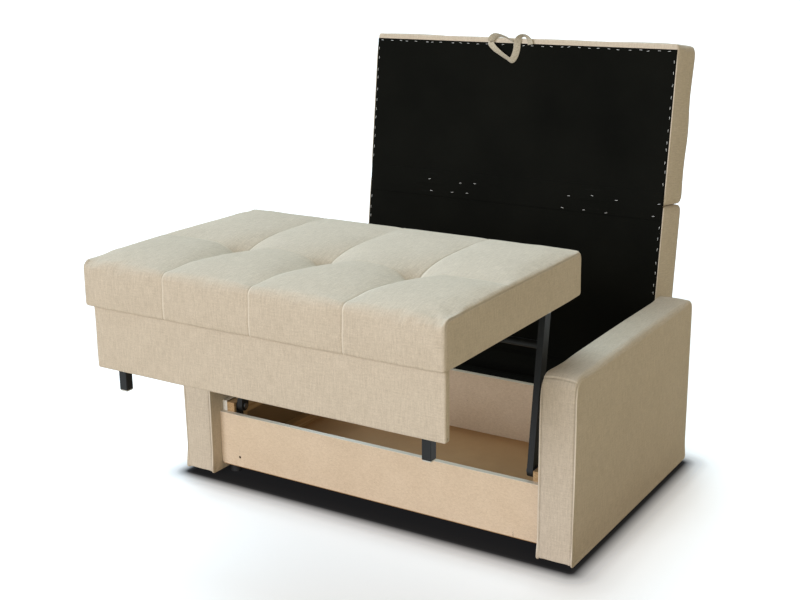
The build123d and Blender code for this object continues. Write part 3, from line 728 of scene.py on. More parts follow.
def black_sheet(name: str, points: Array, lining: Material, thickness: float = 0.0005,
                flip: bool = False) -> Object:
    """Lining cloth from a grid of points.

    Args:
        name: the piece's name.
        points: its outer face, rows by columns.
        lining: its finish.
        thickness: how thick it is, behind that face.
        flip: whether its faces turn the other way round.

    Returns:
        The new piece.
    """
    piece = new_piece(name, points.reshape(-1, 3), grid_faces(*points.shape[:2], False, flip), lining)
    solid = piece.modifiers.new("cloth thickness", "SOLIDIFY")
    solid.thickness = thickness
    solid.offset = -1
    return piece


def belong(pieces: Sequence[Object], body: str) -> list[Object]:
    """Lets pieces ride on a body.

    Args:
        pieces: the pieces.
        body: the body's name.

    Returns:
        The same pieces.
    """
    for piece in pieces:
        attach(piece, body)
    return list(pieces)


def sheet_grid(half_width: float, start: float, end: float, columns: int, rows: int) -> tuple[Array, Array, Array]:
    """Even places across and along a sheet, and each one's distance from the nearest edge."""
    x, v = np.meshgrid(np.linspace(-half_width, half_width, columns), np.linspace(start, end, rows), indexing="ij")
    return x, v, np.minimum(half_width - np.abs(x), np.minimum(v - start, end - v))


def set_cloth_map(mesh: Mesh, places: Array) -> None:
    """Writes the cloth map, one place in metres for each face corner."""
    layer = mesh.uv_layers.new(name=CLOTH_MAP)
    layer.data.foreach_set("uv", np.ascontiguousarray(places, np.float32).ravel())


def set_mask(mesh: Mesh, mask: Array) -> None:
    """Writes the seam mask of painted highlight and painted shade, one number for each point."""
    mesh.attributes.new(SEAM_HIGHLIGHT_SHADE_MASK, "FLOAT", "POINT").data.foreach_set("value", mask.astype(np.float32).ravel())


def weld(mesh: Mesh, points: Array, distance: float) -> None:
    """Merges those of the given points that lie within a distance of each other.

    Args:
        mesh: the mesh to change.
        points: indices of the points that may merge.
        distance: how near two of them must be, in metres.
    """
    work = bmesh.new()
    work.from_mesh(mesh)
    work.verts.ensure_lookup_table()
    bmesh.ops.remove_doubles(work, verts=[work.verts[i] for i in points], dist=distance)
    bmesh.ops.dissolve_degenerate(work, edges=work.edges, dist=1e-7)
    work.to_mesh(mesh)
    work.free()
    mesh.update()


@dataclass(frozen=True)
class Spot:
    """Arrays that say where each point of a soft block lies, before its relief."""

    x: Array
    a: Array
    h: Array
    out_x: Array
    out_a: Array
    out_h: Array
    along: Array
    edge: Array
    inset: Array
    row: Array

    def hems(self) -> Array:
        """True on the rows where a side begins or reaches the middle line."""
        return np.isin(np.round(np.abs(self.row), 6), (2.0, 3.0))[:, None]


@dataclass(frozen=True)
class SoftBlock:
    """A sewn block: a rounded outline in its length and height, carried across its width.

    Each side is closed by the same outline shrinking onto the block's middle line, and a quarter
    round joins side and outline. Coordinates: x across, a along the length, h up the height, all
    from the block's middle. The outline starts under the middle and runs to the low end of a, up,
    back over the top and down. along is the distance on it from the middle of the top. row counts
    from -3 at the left middle line over -2 and -1, the quarter round's ends, to 3 at the right.
    """

    width: float
    length: float
    height: float
    corners: tuple[float, float, float, float]
    edge_stations: tuple[tuple[float, float], ...]
    spacing: float
    under_spacing: float
    seam_spacing: float = 0.0011
    seam_reach: float = 0.008
    across_marks: tuple[float, ...] = ()
    along_marks: tuple[float, ...] = ()
    edge_marks: tuple[float, ...] = ()

    def outline(self) -> tuple[Array, Array, Array, Array, float]:
        """The outline as dense arrays.

        Returns:
            Distance, a, h and the outward direction's angle at each place, and the distance of the
            top's middle.
        """
        radius, side_a, side_h = np.repeat([self.corners, (-1, -1, 1, 1), (-1, 1, 1, -1)], CORNER_STEPS, axis=1)
        turn = -math.pi / 2 * (np.arange(1, 5)[:, None] + np.linspace(0, 1, CORNER_STEPS)).ravel()
        a = np.pad(side_a * (self.length / 2 - radius) + radius * np.cos(turn), 1)
        h = np.pad(side_h * (self.height / 2 - radius) + radius * np.sin(turn), 1, constant_values=-self.height / 2)
        turn = np.concatenate([turn[:1], turn, turn[-1:]])
        distance = np.concatenate([[0], np.cumsum(np.hypot(np.diff(a), np.diff(h)))])
        return distance, a, h, turn, distance[2 * CORNER_STEPS] + abs(a[2 * CORNER_STEPS])

    def spots(self) -> tuple[Spot, Array, Array]:
        """Every point of the block and its place on the cloth.

        Returns:
            The points, the map of the wrapped cloth, and that of the sides, clear of it, in metres.
        """
        distance, a_run, h_run, turn, top = self.outline()
        total = distance[-1]
        under = self.length / 2 - self.corners[0]
        far_under = self.length / 2 - self.corners[3]

        def spacing(s: Array) -> Array:
            """Wide under the block, even elsewhere."""
            low = (s < under) | (s > total - far_under)
            return np.where(low, self.under_spacing, self.spacing)

        bends = [distance[1 + CORNER_STEPS * i + CORNER_STEPS // 2] for i in range(4)]
        marks = [top + m for m in self.along_marks]
        s = graded(0, total, marks, spacing, self.seam_spacing, self.seam_reach)
        s = np.unique(np.concatenate([s[:-1]] + [b + r * np.linspace(-0.75, 0.75, ROUND_STEPS)[1:-1]
                                                 for b, r in zip(bends, self.corners)]))
        s = s[np.concatenate([[True], np.diff(s) > 0.0006])]
        a, h, angle = (np.interp(s, distance, run) for run in (a_run, h_run, turn))
        out_a, out_h = np.cos(angle), np.sin(angle)
        half = min(self.length, self.height) / 2
        middle_a = np.clip(a, -(self.length / 2 - half), self.length / 2 - half)
        middle_h = np.clip(h, -(self.height / 2 - half), self.height / 2 - half)
        radius = eased(s - top, self.edge_stations)
        widest = max(value for _, value in self.edge_stations)
        reach_x = self.width / 2 - widest

        cap_depth = half - widest
        cap = 1 - graded(0, cap_depth, [m for m in self.edge_marks if m < cap_depth],
                         self.spacing, self.seam_spacing, self.seam_reach)[::-1] / cap_depth
        arc = np.linspace(0, math.pi / 2, ROUND_STEPS)
        across = graded(-reach_x, reach_x, self.across_marks, self.spacing,
                        self.seam_spacing, self.seam_reach)

        def side(sign: float) -> tuple[Array, ...]:
            """Rows of one side, from its middle line to the end of its quarter round."""
            flat = cap[:-1, None]
            inset = np.concatenate([half - flat * (half - radius), radius - radius * np.sin(arc)[:, None]])
            x = np.concatenate([np.full((len(flat), len(s)), self.width / 2),
                                self.width / 2 - radius + radius * np.cos(arc)[:, None]])
            beta = np.concatenate([np.zeros(len(flat)), arc])[:, None] + np.zeros(len(s))
            edge = np.concatenate([-(half - radius) * (1 - flat), radius * arc[:, None]])
            return sign * x, inset, sign * np.cos(beta), np.sin(beta), edge

        left, right = side(-1), side(1)
        side_key = np.concatenate([cap[:-1] - 3, arc / (math.pi / 2) - 2])
        wide = across[1:-1, None] / reach_x
        stretch = 1 + ((self.width / 2 - radius) / reach_x - 1) * wide ** 6
        flat_x = across[1:-1, None] * stretch
        zero = np.zeros_like(flat_x)
        beyond = self.width / 2 - np.abs(flat_x) + radius * (math.pi / 2 - 1)
        middle = (flat_x, zero, zero, zero + 1, beyond)
        x, inset, out_x, lean, edge = (np.concatenate([lo, mid, hi[::-1]]) for lo, mid, hi in zip(left, middle, right))
        share = 1 - inset / half
        pa = middle_a + (a - middle_a) * share
        ph = middle_h + (h - middle_h) * share
        step = 1.3 * max(self.under_spacing, self.spacing)
        ends = [0, -1]
        pa[ends], ph[ends] = middle_a, middle_h
        longer = pa if self.length >= self.height else ph
        longer[ends] = np.round(longer[ends] / step) * step
        whole = np.zeros_like(x)
        row = np.concatenate([side_key, wide[:, 0], -side_key[::-1]])
        spot = Spot(x, pa, ph, out_x, lean * out_a, lean * out_h, whole + (s - top), edge, inset, row)
        wrap = np.stack([np.sign(x) * (self.width / 2 - edge), whole + s], axis=-1)
        wrap[len(left[0]):len(left[0]) + len(flat_x), :, 0] = flat_x
        sides = np.stack([pa + 3 * np.sign(x), ph + 2], axis=-1)
        return spot, wrap, sides

    def side_rows(self, spot: Spot) -> Array:
        """Which rows of faces belong to the flat sides."""
        rows = np.abs(spot.out_x[:, 0]) > 0.9999
        return rows[:-1] & rows[1:]


@dataclass(frozen=True)
class Place:
    """Where a soft block stands: its middle, its length's and its height's direction."""

    middle: Vector3
    along: Vector3 = (0, 1, 0)
    up: Vector3 = (0, 0, 1)

    def world(self, x: Array, a: Array, h: Array) -> Array:
        """Block coordinates turned into the frame's, one point a row at the end."""
        middle, along, up = (np.array(v, float) for v in (self.middle, self.along, self.up))
        result = middle + a[..., None] * along + h[..., None] * up
        result[..., 0] += x
        return result

    def surface(self, spot: Spot, depth: Array) -> Array:
        """The points of a grid, each moved out by its depth."""
        return self.world(spot.x + spot.out_x * depth, spot.a + spot.out_a * depth, spot.h + spot.out_h * depth)

    def left_handed(self) -> bool:
        """Whether X, along and up turn the wrong way round."""
        return float(np.cross((1, 0, 0), self.along) @ np.array(self.up)) < 0


class Assembly:
    """Pieces that are made together."""

    def build(self, finishes: Finishes) -> list[Object]:
        """Makes the pieces.

        Args:
            finishes: every finish.

        Returns:
            The pieces, placed in the frame.
        """
        raise NotImplementedError


class SoftForm(Assembly):
    """An assembly sewn round a soft block, in columns where it is tufted."""

    column = 0.0

    def seams(self) -> tuple[float, ...]:
        """The places across of the three long seams between four columns."""
        return (-self.column, 0.0, self.column)

    def relief(self, s: Spot) -> Array:
        """How far the cloth stands out from the plain block.

        Args:
            s: where the block's points lie.

        Returns:
            One distance for each point, in metres.
        """
        raise NotImplementedError

    def mask(self, s: Spot) -> Array:
        """Where seams get painted highlight and painted shade, which is nowhere unless a form says so.

        Args:
            s: where the block's points lie.

        Returns:
            For each point, from -1 in a seam's line of painted shade to 1 on its lip of painted highlight.
        """
        return np.zeros_like(s.x)

    def held(self, s: Spot) -> Array:
        """Which points a filling leaves in place, which is all of them unless a form says so.

        Args:
            s: where the block's points lie.

        Returns:
            True for each point that stays.
        """
        return np.full(s.x.shape, True)


@dataclass
class Sewn:
    """A soft block made into a mesh, with what the seams and stitches need."""

    piece: Object
    surface: Array
    normal: Array
    spot: Spot

    def lines(self, rows: Sequence[int], shown: Array) -> list[tuple[Array, Array]]:
        """Points and outward directions along some rows, where shown."""
        return [(self.surface[row, shown], self.normal[row, shown]) for row in rows]

    def rows_at(self, marks: Sequence[float]) -> list[int]:
        """The rows nearest to some places across."""
        return [int(np.argmin(np.abs(self.spot.x[:, 0] - mark))) for mark in marks]


@dataclass(frozen=True)
class Filling:
    """Air pressure that fills a sewn block: a short cloth simulation on a coarse copy of its grid.

    The held points, such as seams, tufts and the underside, stay. How far the others went is capped
    and read onto the fine grid by row and by distance along the outline. The rows on the middle line
    stay out of the simulation, because their points meet there and it would stand still.
    """

    pressure: float = 4.0
    cap: float = 0.022
    share: float = 0.5
    side_share: float = 0.4
    spacing: float = 0.017
    frames: int = 14

    def swell(self, block: SoftBlock, place: Place, form: SoftForm, fine: Spot, cloth: Material) -> Array:
        """How far each point of the fine grid moves.

        Args:
            block: the block's plain shape.
            place: where it stands.
            form: its relief, and the points that are held.
            fine: the fine grid.
            cloth: any finish, for the trial piece.

        Returns:
            One move for each point, in metres.
        """
        spot = replace(block, spacing=self.spacing, under_spacing=2.5 * self.spacing, seam_spacing=0.6 * self.spacing,
                       seam_reach=self.spacing).spots()[0]
        start = place.surface(spot, form.relief(spot))[1:-1]
        held = form.held(spot)[1:-1]
        held[[0, -1]] = True
        faces = grid_faces(*held.shape, True, place.left_handed())
        trial = new_piece("filling_trial", start.reshape(-1, 3), faces, cloth)
        moved = self.blown(trial, held.ravel()).reshape(start.shape) - start
        length = np.linalg.norm(moved, axis=-1, keepdims=True)
        log.info("filling moves its points by %.1f mm at most", 1000 * float(length.max()))
        moved = self.share * moved * np.minimum(1.0, self.cap / np.maximum(length, 1e-9))
        moved = np.pad(moved, ((1, 1), (0, 0), (0, 0)))
        total = block.outline()[0][-1]
        around = np.append(spot.along[0], spot.along[0, 0] + total)
        moved = np.concatenate([moved, moved[:, :1]], axis=1)
        moved = read_smooth(moved, np.interp(fine.row, spot.row, np.arange(len(spot.row))))
        moved = read_smooth(moved.transpose(1, 0, 2), np.interp(fine.along[0], around, np.arange(len(around))))
        side = 1 - (1 - self.side_share) * smooth(np.abs(fine.out_x), 0.2, 0.9)
        return moved.transpose(1, 0, 2) * side[..., None]

    def blown(self, trial: Object, held: Array) -> Array:
        """Runs the simulation.

        Args:
            trial: the trial piece, which is removed afterwards.
            held: True for each point that stays.

        Returns:
            Every point's coordinates in one row.
        """
        trial.vertex_groups.new(name="held").add(np.flatnonzero(held).tolist(), 1.0, "REPLACE")
        air = trial.modifiers.new("air", "CLOTH")
        air.settings.quality = 5
        air.settings.use_pressure = True
        air.settings.uniform_pressure_force = self.pressure
        air.settings.vertex_group_mass = "held"
        air.settings.bending_stiffness = 0.4
        air.settings.effector_weights.gravity = 0
        air.collision_settings.use_collision = False
        air.point_cache.frame_start = 1
        air.point_cache.frame_end = self.frames
        scene = bpy.context.scene
        for step in range(1, self.frames + 1):
            scene.frame_set(step)
        shape = trial.evaluated_get(bpy.context.evaluated_depsgraph_get()).data
        points = np.empty(3 * len(shape.vertices), np.float32)
        shape.vertices.foreach_get("co", points)
        mesh = trial.data
        bpy.data.objects.remove(trial)
        bpy.data.meshes.remove(mesh)
        scene.frame_set(1)
        return points.astype(float)


def sew(name: str, block: SoftBlock, place: Place, form: SoftForm, cloth: Material,
        filling: Optional[Filling] = None) -> Sewn:
    """Makes a soft block's mesh: every point moves out by its relief along the block's own direction.

    Args:
        name: the piece's name.
        block: its plain shape.
        place: where it stands.
        form: its relief, its seams and its held points.
        cloth: its finish.
        filling: what swells it, if anything.

    Returns:
        The piece and its grid of points.
    """
    spot, wrap, sides = block.spots()
    surface = place.surface(spot, form.relief(spot))
    if filling is not None:
        surface = surface + filling.swell(block, place, form, spot, cloth)
    rows, columns = spot.x.shape
    flip = place.left_handed()
    faces = grid_faces(rows, columns, True, flip)
    piece = new_piece(name, surface.reshape(-1, 3), faces, cloth)
    on_side = np.repeat(block.side_rows(spot), columns)[:, None]
    wrap_flat, side_flat = wrap.reshape(-1, 2), sides.reshape(-1, 2)
    corner_map = np.where(on_side[:, :, None], side_flat[faces], wrap_flat[faces])
    total = block.outline()[0][-1]
    last_face = np.arange(len(faces)) % columns == columns - 1
    closing = last_face[:, None] & (faces % columns == 0) & ~on_side
    corner_map[..., 1] += np.where(closing, total, 0)
    set_cloth_map(piece.data, corner_map)
    set_mask(piece.data, form.mask(spot))
    ends = np.concatenate([np.arange(columns), np.arange((rows - 1) * columns, rows * columns)])
    weld(piece.data, ends, 1e-5)
    normal = place.world(spot.out_x, spot.out_a, spot.out_h) - np.array(place.middle)
    return Sewn(piece, surface, unit(normal), spot)


# Small repeated things

def stamp(name: str, shape: Array, shape_faces: Array, middles: Array, forwards: Array,
          outs: Array, material: Material) -> Object:
    """Copies of one small shape in one mesh.

    Args:
        name: the piece's name.
        shape: its points: forward, sideways and out.
        shape_faces: its faces, all with as many corners.
        middles: where each copy sits.
        forwards: which way each copy points.
        outs: each copy's outward direction.
        material: the finish.

    Returns:
        The new piece.
    """
    outs = unit(outs)
    forwards = unit(forwards - (forwards * outs).sum(1, keepdims=True) * outs)
    sideways = np.cross(outs, forwards)
    points = (middles[:, None] + shape[None, :, :1] * forwards[:, None] + shape[None, :, 1:2] * sideways[:, None]
              + shape[None, :, 2:] * outs[:, None])
    offsets = np.arange(len(middles)) * len(shape)
    faces = (shape_faces[None] + offsets[:, None, None]).reshape(-1, shape_faces.shape[1])
    return new_piece(name, points.reshape(-1, 3), faces, material)


def stitch_shape(length: float, radius: float) -> tuple[Array, Array]:
    """A short thread, fat in the middle and dipping at both ends: rings of five carried along it.

    Args:
        length: from end to end.
        radius: at its fattest.

    Returns:
        Points and faces.
    """
    along = np.array([-0.5, -0.34, 0.0, 0.34, 0.5]) * length
    fat = np.array([0.35, 0.9, 1.0, 0.9, 0.35]) * radius
    lift = np.array([-0.7, 0.15, 0.4, 0.15, -0.7]) * radius
    turn = np.arange(5) * math.tau / 5
    out = lift[:, None] + fat[:, None] * np.sin(turn)
    rings = np.stack([along[:, None] + 0 * turn, fat[:, None] * np.cos(turn), out], axis=-1)
    return rings.reshape(-1, 3), grid_faces(5, 5, True, False)


def staple_shape(crown: float = 0.0104, wire: float = 0.0012,
                 height: float = 0.0006) -> tuple[Array, Array]:
    """A flat wire whose two ends turn down: a four-cornered profile carried over four places.

    Args:
        crown: its length.
        wire: its width.
        height: its thickness.

    Returns:
        Points and faces.
    """
    along = np.array([-0.5, -0.44, 0.44, 0.5]) * crown
    drop = np.array([-2.2, 0, 0, -2.2]) * height
    corners = np.array([(-0.5, -0.5), (0.5, -0.5), (0.5, 0.5), (-0.5, 0.5)])
    rings = np.stack([along[:, None] + 0 * corners[:, 0], corners[:, 0] * wire + 0 * along[:, None],
                      drop[:, None] + (corners[:, 1] + 0.5) * height], axis=-1)
    return rings.reshape(-1, 3), grid_faces(4, 4, True, False)


def stitches(name: str, lines: Sequence[tuple[Array, Array]], thread: Material,
             pitch: float = 0.0042, lift: float = 0.0001) -> Object:
    """A row of stitches along each line of a soft piece.

    Args:
        name: the piece's name.
        lines: each line's points and outward directions.
        thread: the thread's finish.
        pitch: distance from one stitch to the next.
        lift: how far the thread stands off the cloth.

    Returns:
        One piece with every stitch.
    """
    middles, forwards, outs = [], [], []
    for points, directions in lines:
        places = resampled(points, pitch)
        middles.append(read_rows(points, places))
        forwards.append(read_rows(points, places + 0.4) - read_rows(points, places - 0.4))
        outs.append(unit(read_rows(directions, places)))
    outs_all = np.concatenate(outs)
    return stamp(name, *stitch_shape(pitch * 0.84, 0.00036), np.concatenate(middles) + outs_all * lift,
                 np.concatenate(forwards), outs_all, thread)


# Seat

@dataclass(frozen=True)
class TuftedSeat(SoftForm):
    """The seat cushion: four columns, one cross seam, three deep tufts, sewn sides."""

    width: float = 1.212
    length: float = 0.812
    height: float = 0.139
    front: float = -0.8756
    under: float = 0.7493
    crown: float = 0.0195
    column: float = 0.303
    cross: float = -0.050
    tuft_reach: float = 0.050
    tuft_sink: float = 0.031
    folds: int = 7
    seed: int = 4
    slump: float = 0.66
    valley: float = 0.0055
    funnel: float = 0.0200
    groove: float = 0.0021
    lip: float = 0.0011
    drop: float = 0.008
    bulge: float = 0.0012
    piping: float = 0.0016

    def block(self) -> SoftBlock:
        """The plain block under the puffs."""
        return SoftBlock(self.width, self.length, self.height, (0.008, 0.026, 0.024, 0.008),
                         ((-0.62, 0.007), (-0.54, 0.010), (-0.43, 0.011), (-0.37, 0.009), (0.37, 0.009), (0.43, 0.011),
                          (0.54, 0.010), (0.62, 0.007)),
                         0.0085, 0.022, across_marks=self.seams(), along_marks=(self.cross,), edge_marks=(0.003,))

    def relief(self, s: Spot) -> Array:
        """How far the cloth stands out.

        The crown rises quickly from the edges and is level over the rows. From it come off the
        valleys of the long seams and the cross seam, deepest at the tufts and gone at the rear edge,
        a funnel and a few folds at each tuft, and the fine groove and lip of each seam. The two front
        corners are drawn down a little.
        """
        over = s.along
        from_cross = over - self.cross
        on_wrap = 1 - smooth(np.abs(s.out_x), 0.0, 0.9)
        high, near_high = self.crown, self.crown - 0.002
        crown = eased(over, ((-0.545, 0.0), (-0.49, 0.0045), (-0.44, 0.0025), (-0.395, 0.003), (-0.27, near_high),
                             (-0.15, high), (-0.05, near_high), (0.08, high), (0.28, near_high), (0.390, 0.004),
                             (0.44, 0.002), (0.50, 0.003), (0.54, 0.0)))
        to_side = self.width / 2 - np.abs(s.x)
        crown = crown * (0.25 + 0.75 * smooth(to_side, -0.015, 0.065)) * self.slump
        right = nearest(s.x, self.seams())
        across = np.abs(right)
        ridge = 1 - np.abs(2 * ((s.x + self.width / 2) / self.column % 1) - 1) ** 3
        near_tuft = bump(from_cross / np.where(from_cross < 0, 0.135, 0.105), 1.0, 1.5)
        long_depth = self.valley * smooth(over, -0.50, -0.33) * smooth(over, 0.46, 0.22)
        long_depth = long_depth + self.tuft_sink * 0.95 * near_tuft
        long_width = 0.022 + 0.034 * bump(from_cross, 0.12)
        outer = smooth(np.abs(s.x), self.column, self.column + 0.08)
        cross_depth = (0.0018 + 0.0036 * outer + self.tuft_sink * 0.85 * bump(across, self.tuft_reach, 1.5)) \
            * smooth(to_side, 0.0, 0.05)
        long_valley = long_depth * bump(across, long_width, 1.25)
        cross_valley = cross_depth * bump(from_cross, 0.046, 1.3)
        valley = (long_valley ** 3 + cross_valley ** 3) ** (1 / 3)
        radius = np.hypot(across, from_cross)
        funnel = self.funnel * bump(radius, 0.022, 1.1)
        result = crown * (0.88 + 0.12 * ridge) - valley - funnel - self.creases(s)
        result = result + 0.0016 * (ridge - 0.5) * smooth(over, -0.36, -0.44) * smooth(over, -0.57, -0.50)
        at_corner = smooth(to_side, 0.11, -0.01) * smooth(over, -0.28, -0.385) * smooth(s.out_h, 0.2, 0.9)
        result = result - self.drop * at_corner
        seam_on = smooth(over, -0.560, -0.545)
        groove = self.groove * bump(across, 0.0017) - self.lip * bump(right - 0.0036, 0.0016)
        cross_groove = 0.0016 * bump(from_cross, 0.0017) * smooth(to_side, 0.001, 0.010)
        result = (result - groove * seam_on - cross_groove) * on_wrap
        half_length = self.length / 2
        bulge = self.bulge * (1 - (s.h / (self.height / 2)) ** 2) * smooth(np.abs(s.a), half_length, half_length - 0.08)
        piping = self.piping * bump(s.edge - 0.003, 0.0016)
        return result + bulge * (1 - on_wrap) * smooth(s.edge, 0.004, -0.02) - piping * smooth(s.h, -0.06, -0.045)

    def creases(self, s: Spot) -> Array:
        """Soft folds that run out of each tuft, each a bell across its ray, fading with distance."""
        generator = np.random.default_rng(self.seed)
        from_cross = s.along - self.cross
        total = np.zeros_like(s.x)
        for mark in self.seams():
            start = generator.uniform(0, math.tau)
            angle = np.arctan2(from_cross, s.x - mark)
            distance = np.hypot(s.x - mark, from_cross)
            for index in range(self.folds):
                ray = start + (index + generator.uniform(-0.25, 0.25)) * math.tau / self.folds
                turn = np.abs((angle - ray + math.pi) % math.tau - math.pi)
                length = generator.uniform(0.045, 0.085)
                depth = generator.uniform(0.0012, 0.0030)
                total += depth * bump(turn * distance, 0.0060) * bump(distance - length * 0.5, length * 0.42)
        return total

    def held(self, s: Spot) -> Array:
        """True on the seams, the tufts, the edges and the underside, which the filling doesn't move."""
        across = np.abs(nearest(s.x, self.seams()))
        on_seam = (across < 0.004) | (np.abs(s.along - self.cross) < 0.004)
        tuft = np.hypot(across, s.along - self.cross) < 0.022
        low = s.h < -self.height / 2 + 0.012
        return on_seam & (np.abs(s.out_x) < 0.5) | tuft | low | s.hems()

    def mask(self, s: Spot) -> Array:
        """Painted highlight on lips beside the long seams and the cross seam's ends; painted shade in the seams."""
        right = nearest(s.x, self.seams())
        front = smooth(s.along, -0.25, -0.40) * smooth(s.along, -0.565, -0.555)
        past_tuft = s.along - self.cross
        on_top = np.where(past_tuft < 0, 0.85, 0.15 + 0.65 * bump(past_tuft, 0.15))
        # the lips are painted highlight where a seam's edge catches the light
        lip = bump(right - 0.0030, 0.0020) * front + on_top * bump(right - 0.0046, 0.0026) * (1 - front)
        outer = smooth(np.abs(s.x), self.column + 0.01, self.column + 0.06)
        cross_highlight = 0.6 * outer * bump(past_tuft + 0.0048, 0.0028)
        # painted shade in the seam lines
        line = bump(right, 0.0015) * smooth(s.along, -0.565, -0.555)
        side_shade_line = 0.6 * bump(s.edge - 0.0030, 0.0020) * smooth(np.abs(s.along), 0.45, 0.40)
        return (np.maximum(lip, cross_highlight) - 0.55 * line) * (np.abs(s.out_x) < 0.3) - side_shade_line

    def build(self, finishes: Finishes) -> list[Object]:
        """Makes the cushion and its stitches."""
        middle = (0.0, self.front + self.length / 2, self.under + self.height / 2)
        sewn = sew("seat_cushion_cloth", self.block(), Place(middle), self, finishes.fabric, Filling())
        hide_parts("seat_cushion")
        shown = (sewn.spot.along[0] > -0.56) & (sewn.spot.along[0] < 0.54)
        lines = sewn.lines(sewn.rows_at(self.seams()), shown)
        column = int(np.argmin(np.abs(sewn.spot.along[0] - self.cross)))
        inner = np.abs(sewn.spot.x[:, column]) < self.width / 2 - 0.012
        lines.append((sewn.surface[inner, column], sewn.normal[inner, column]))
        return belong([sewn.piece, stitches("seat_stitches", lines, finishes.thread)], "seat")


@dataclass(frozen=True)
class Skirt(SoftForm):
    """The thinly padded board that hangs under the seat's front edge."""

    width: float = 1.190
    front: float = -0.8526
    thickness: float = 0.025
    low: float = 0.5543
    high: float = 0.7493
    swell: float = 0.0022
    wave: float = 0.0005

    def relief(self, s: Spot) -> Array:
        """A shallow swell over the face, and slow waves of about half a millimetre."""
        height = self.high - self.low
        swell = self.swell * (1 - (2 * s.h / height) ** 4) * smooth(self.width / 2 - np.abs(s.x), 0.0, 0.03)
        waves = self.wave * np.sin(s.x * 21 + 1.7) * np.sin(s.h * 34 + s.x * 5)
        front_face = smooth(s.out_a, 0.2, -0.9)
        return (swell + waves) * front_face

    def build(self, finishes: Finishes) -> list[Object]:
        """Makes the skirt's cover."""
        height = self.high - self.low
        block = SoftBlock(self.width, self.thickness, height, (0.006, 0.005, 0.005, 0.006), ((-1, 0.0058), (1, 0.0058)),
                          0.010, 0.010)
        middle = (0.0, self.front + self.thickness / 2, (self.low + self.high) / 2)
        sewn = sew("skirt_cloth", block, Place(middle), self, finishes.fabric)
        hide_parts("skirt_cover")
        return belong([sewn.piece], "seat")


# Armrests

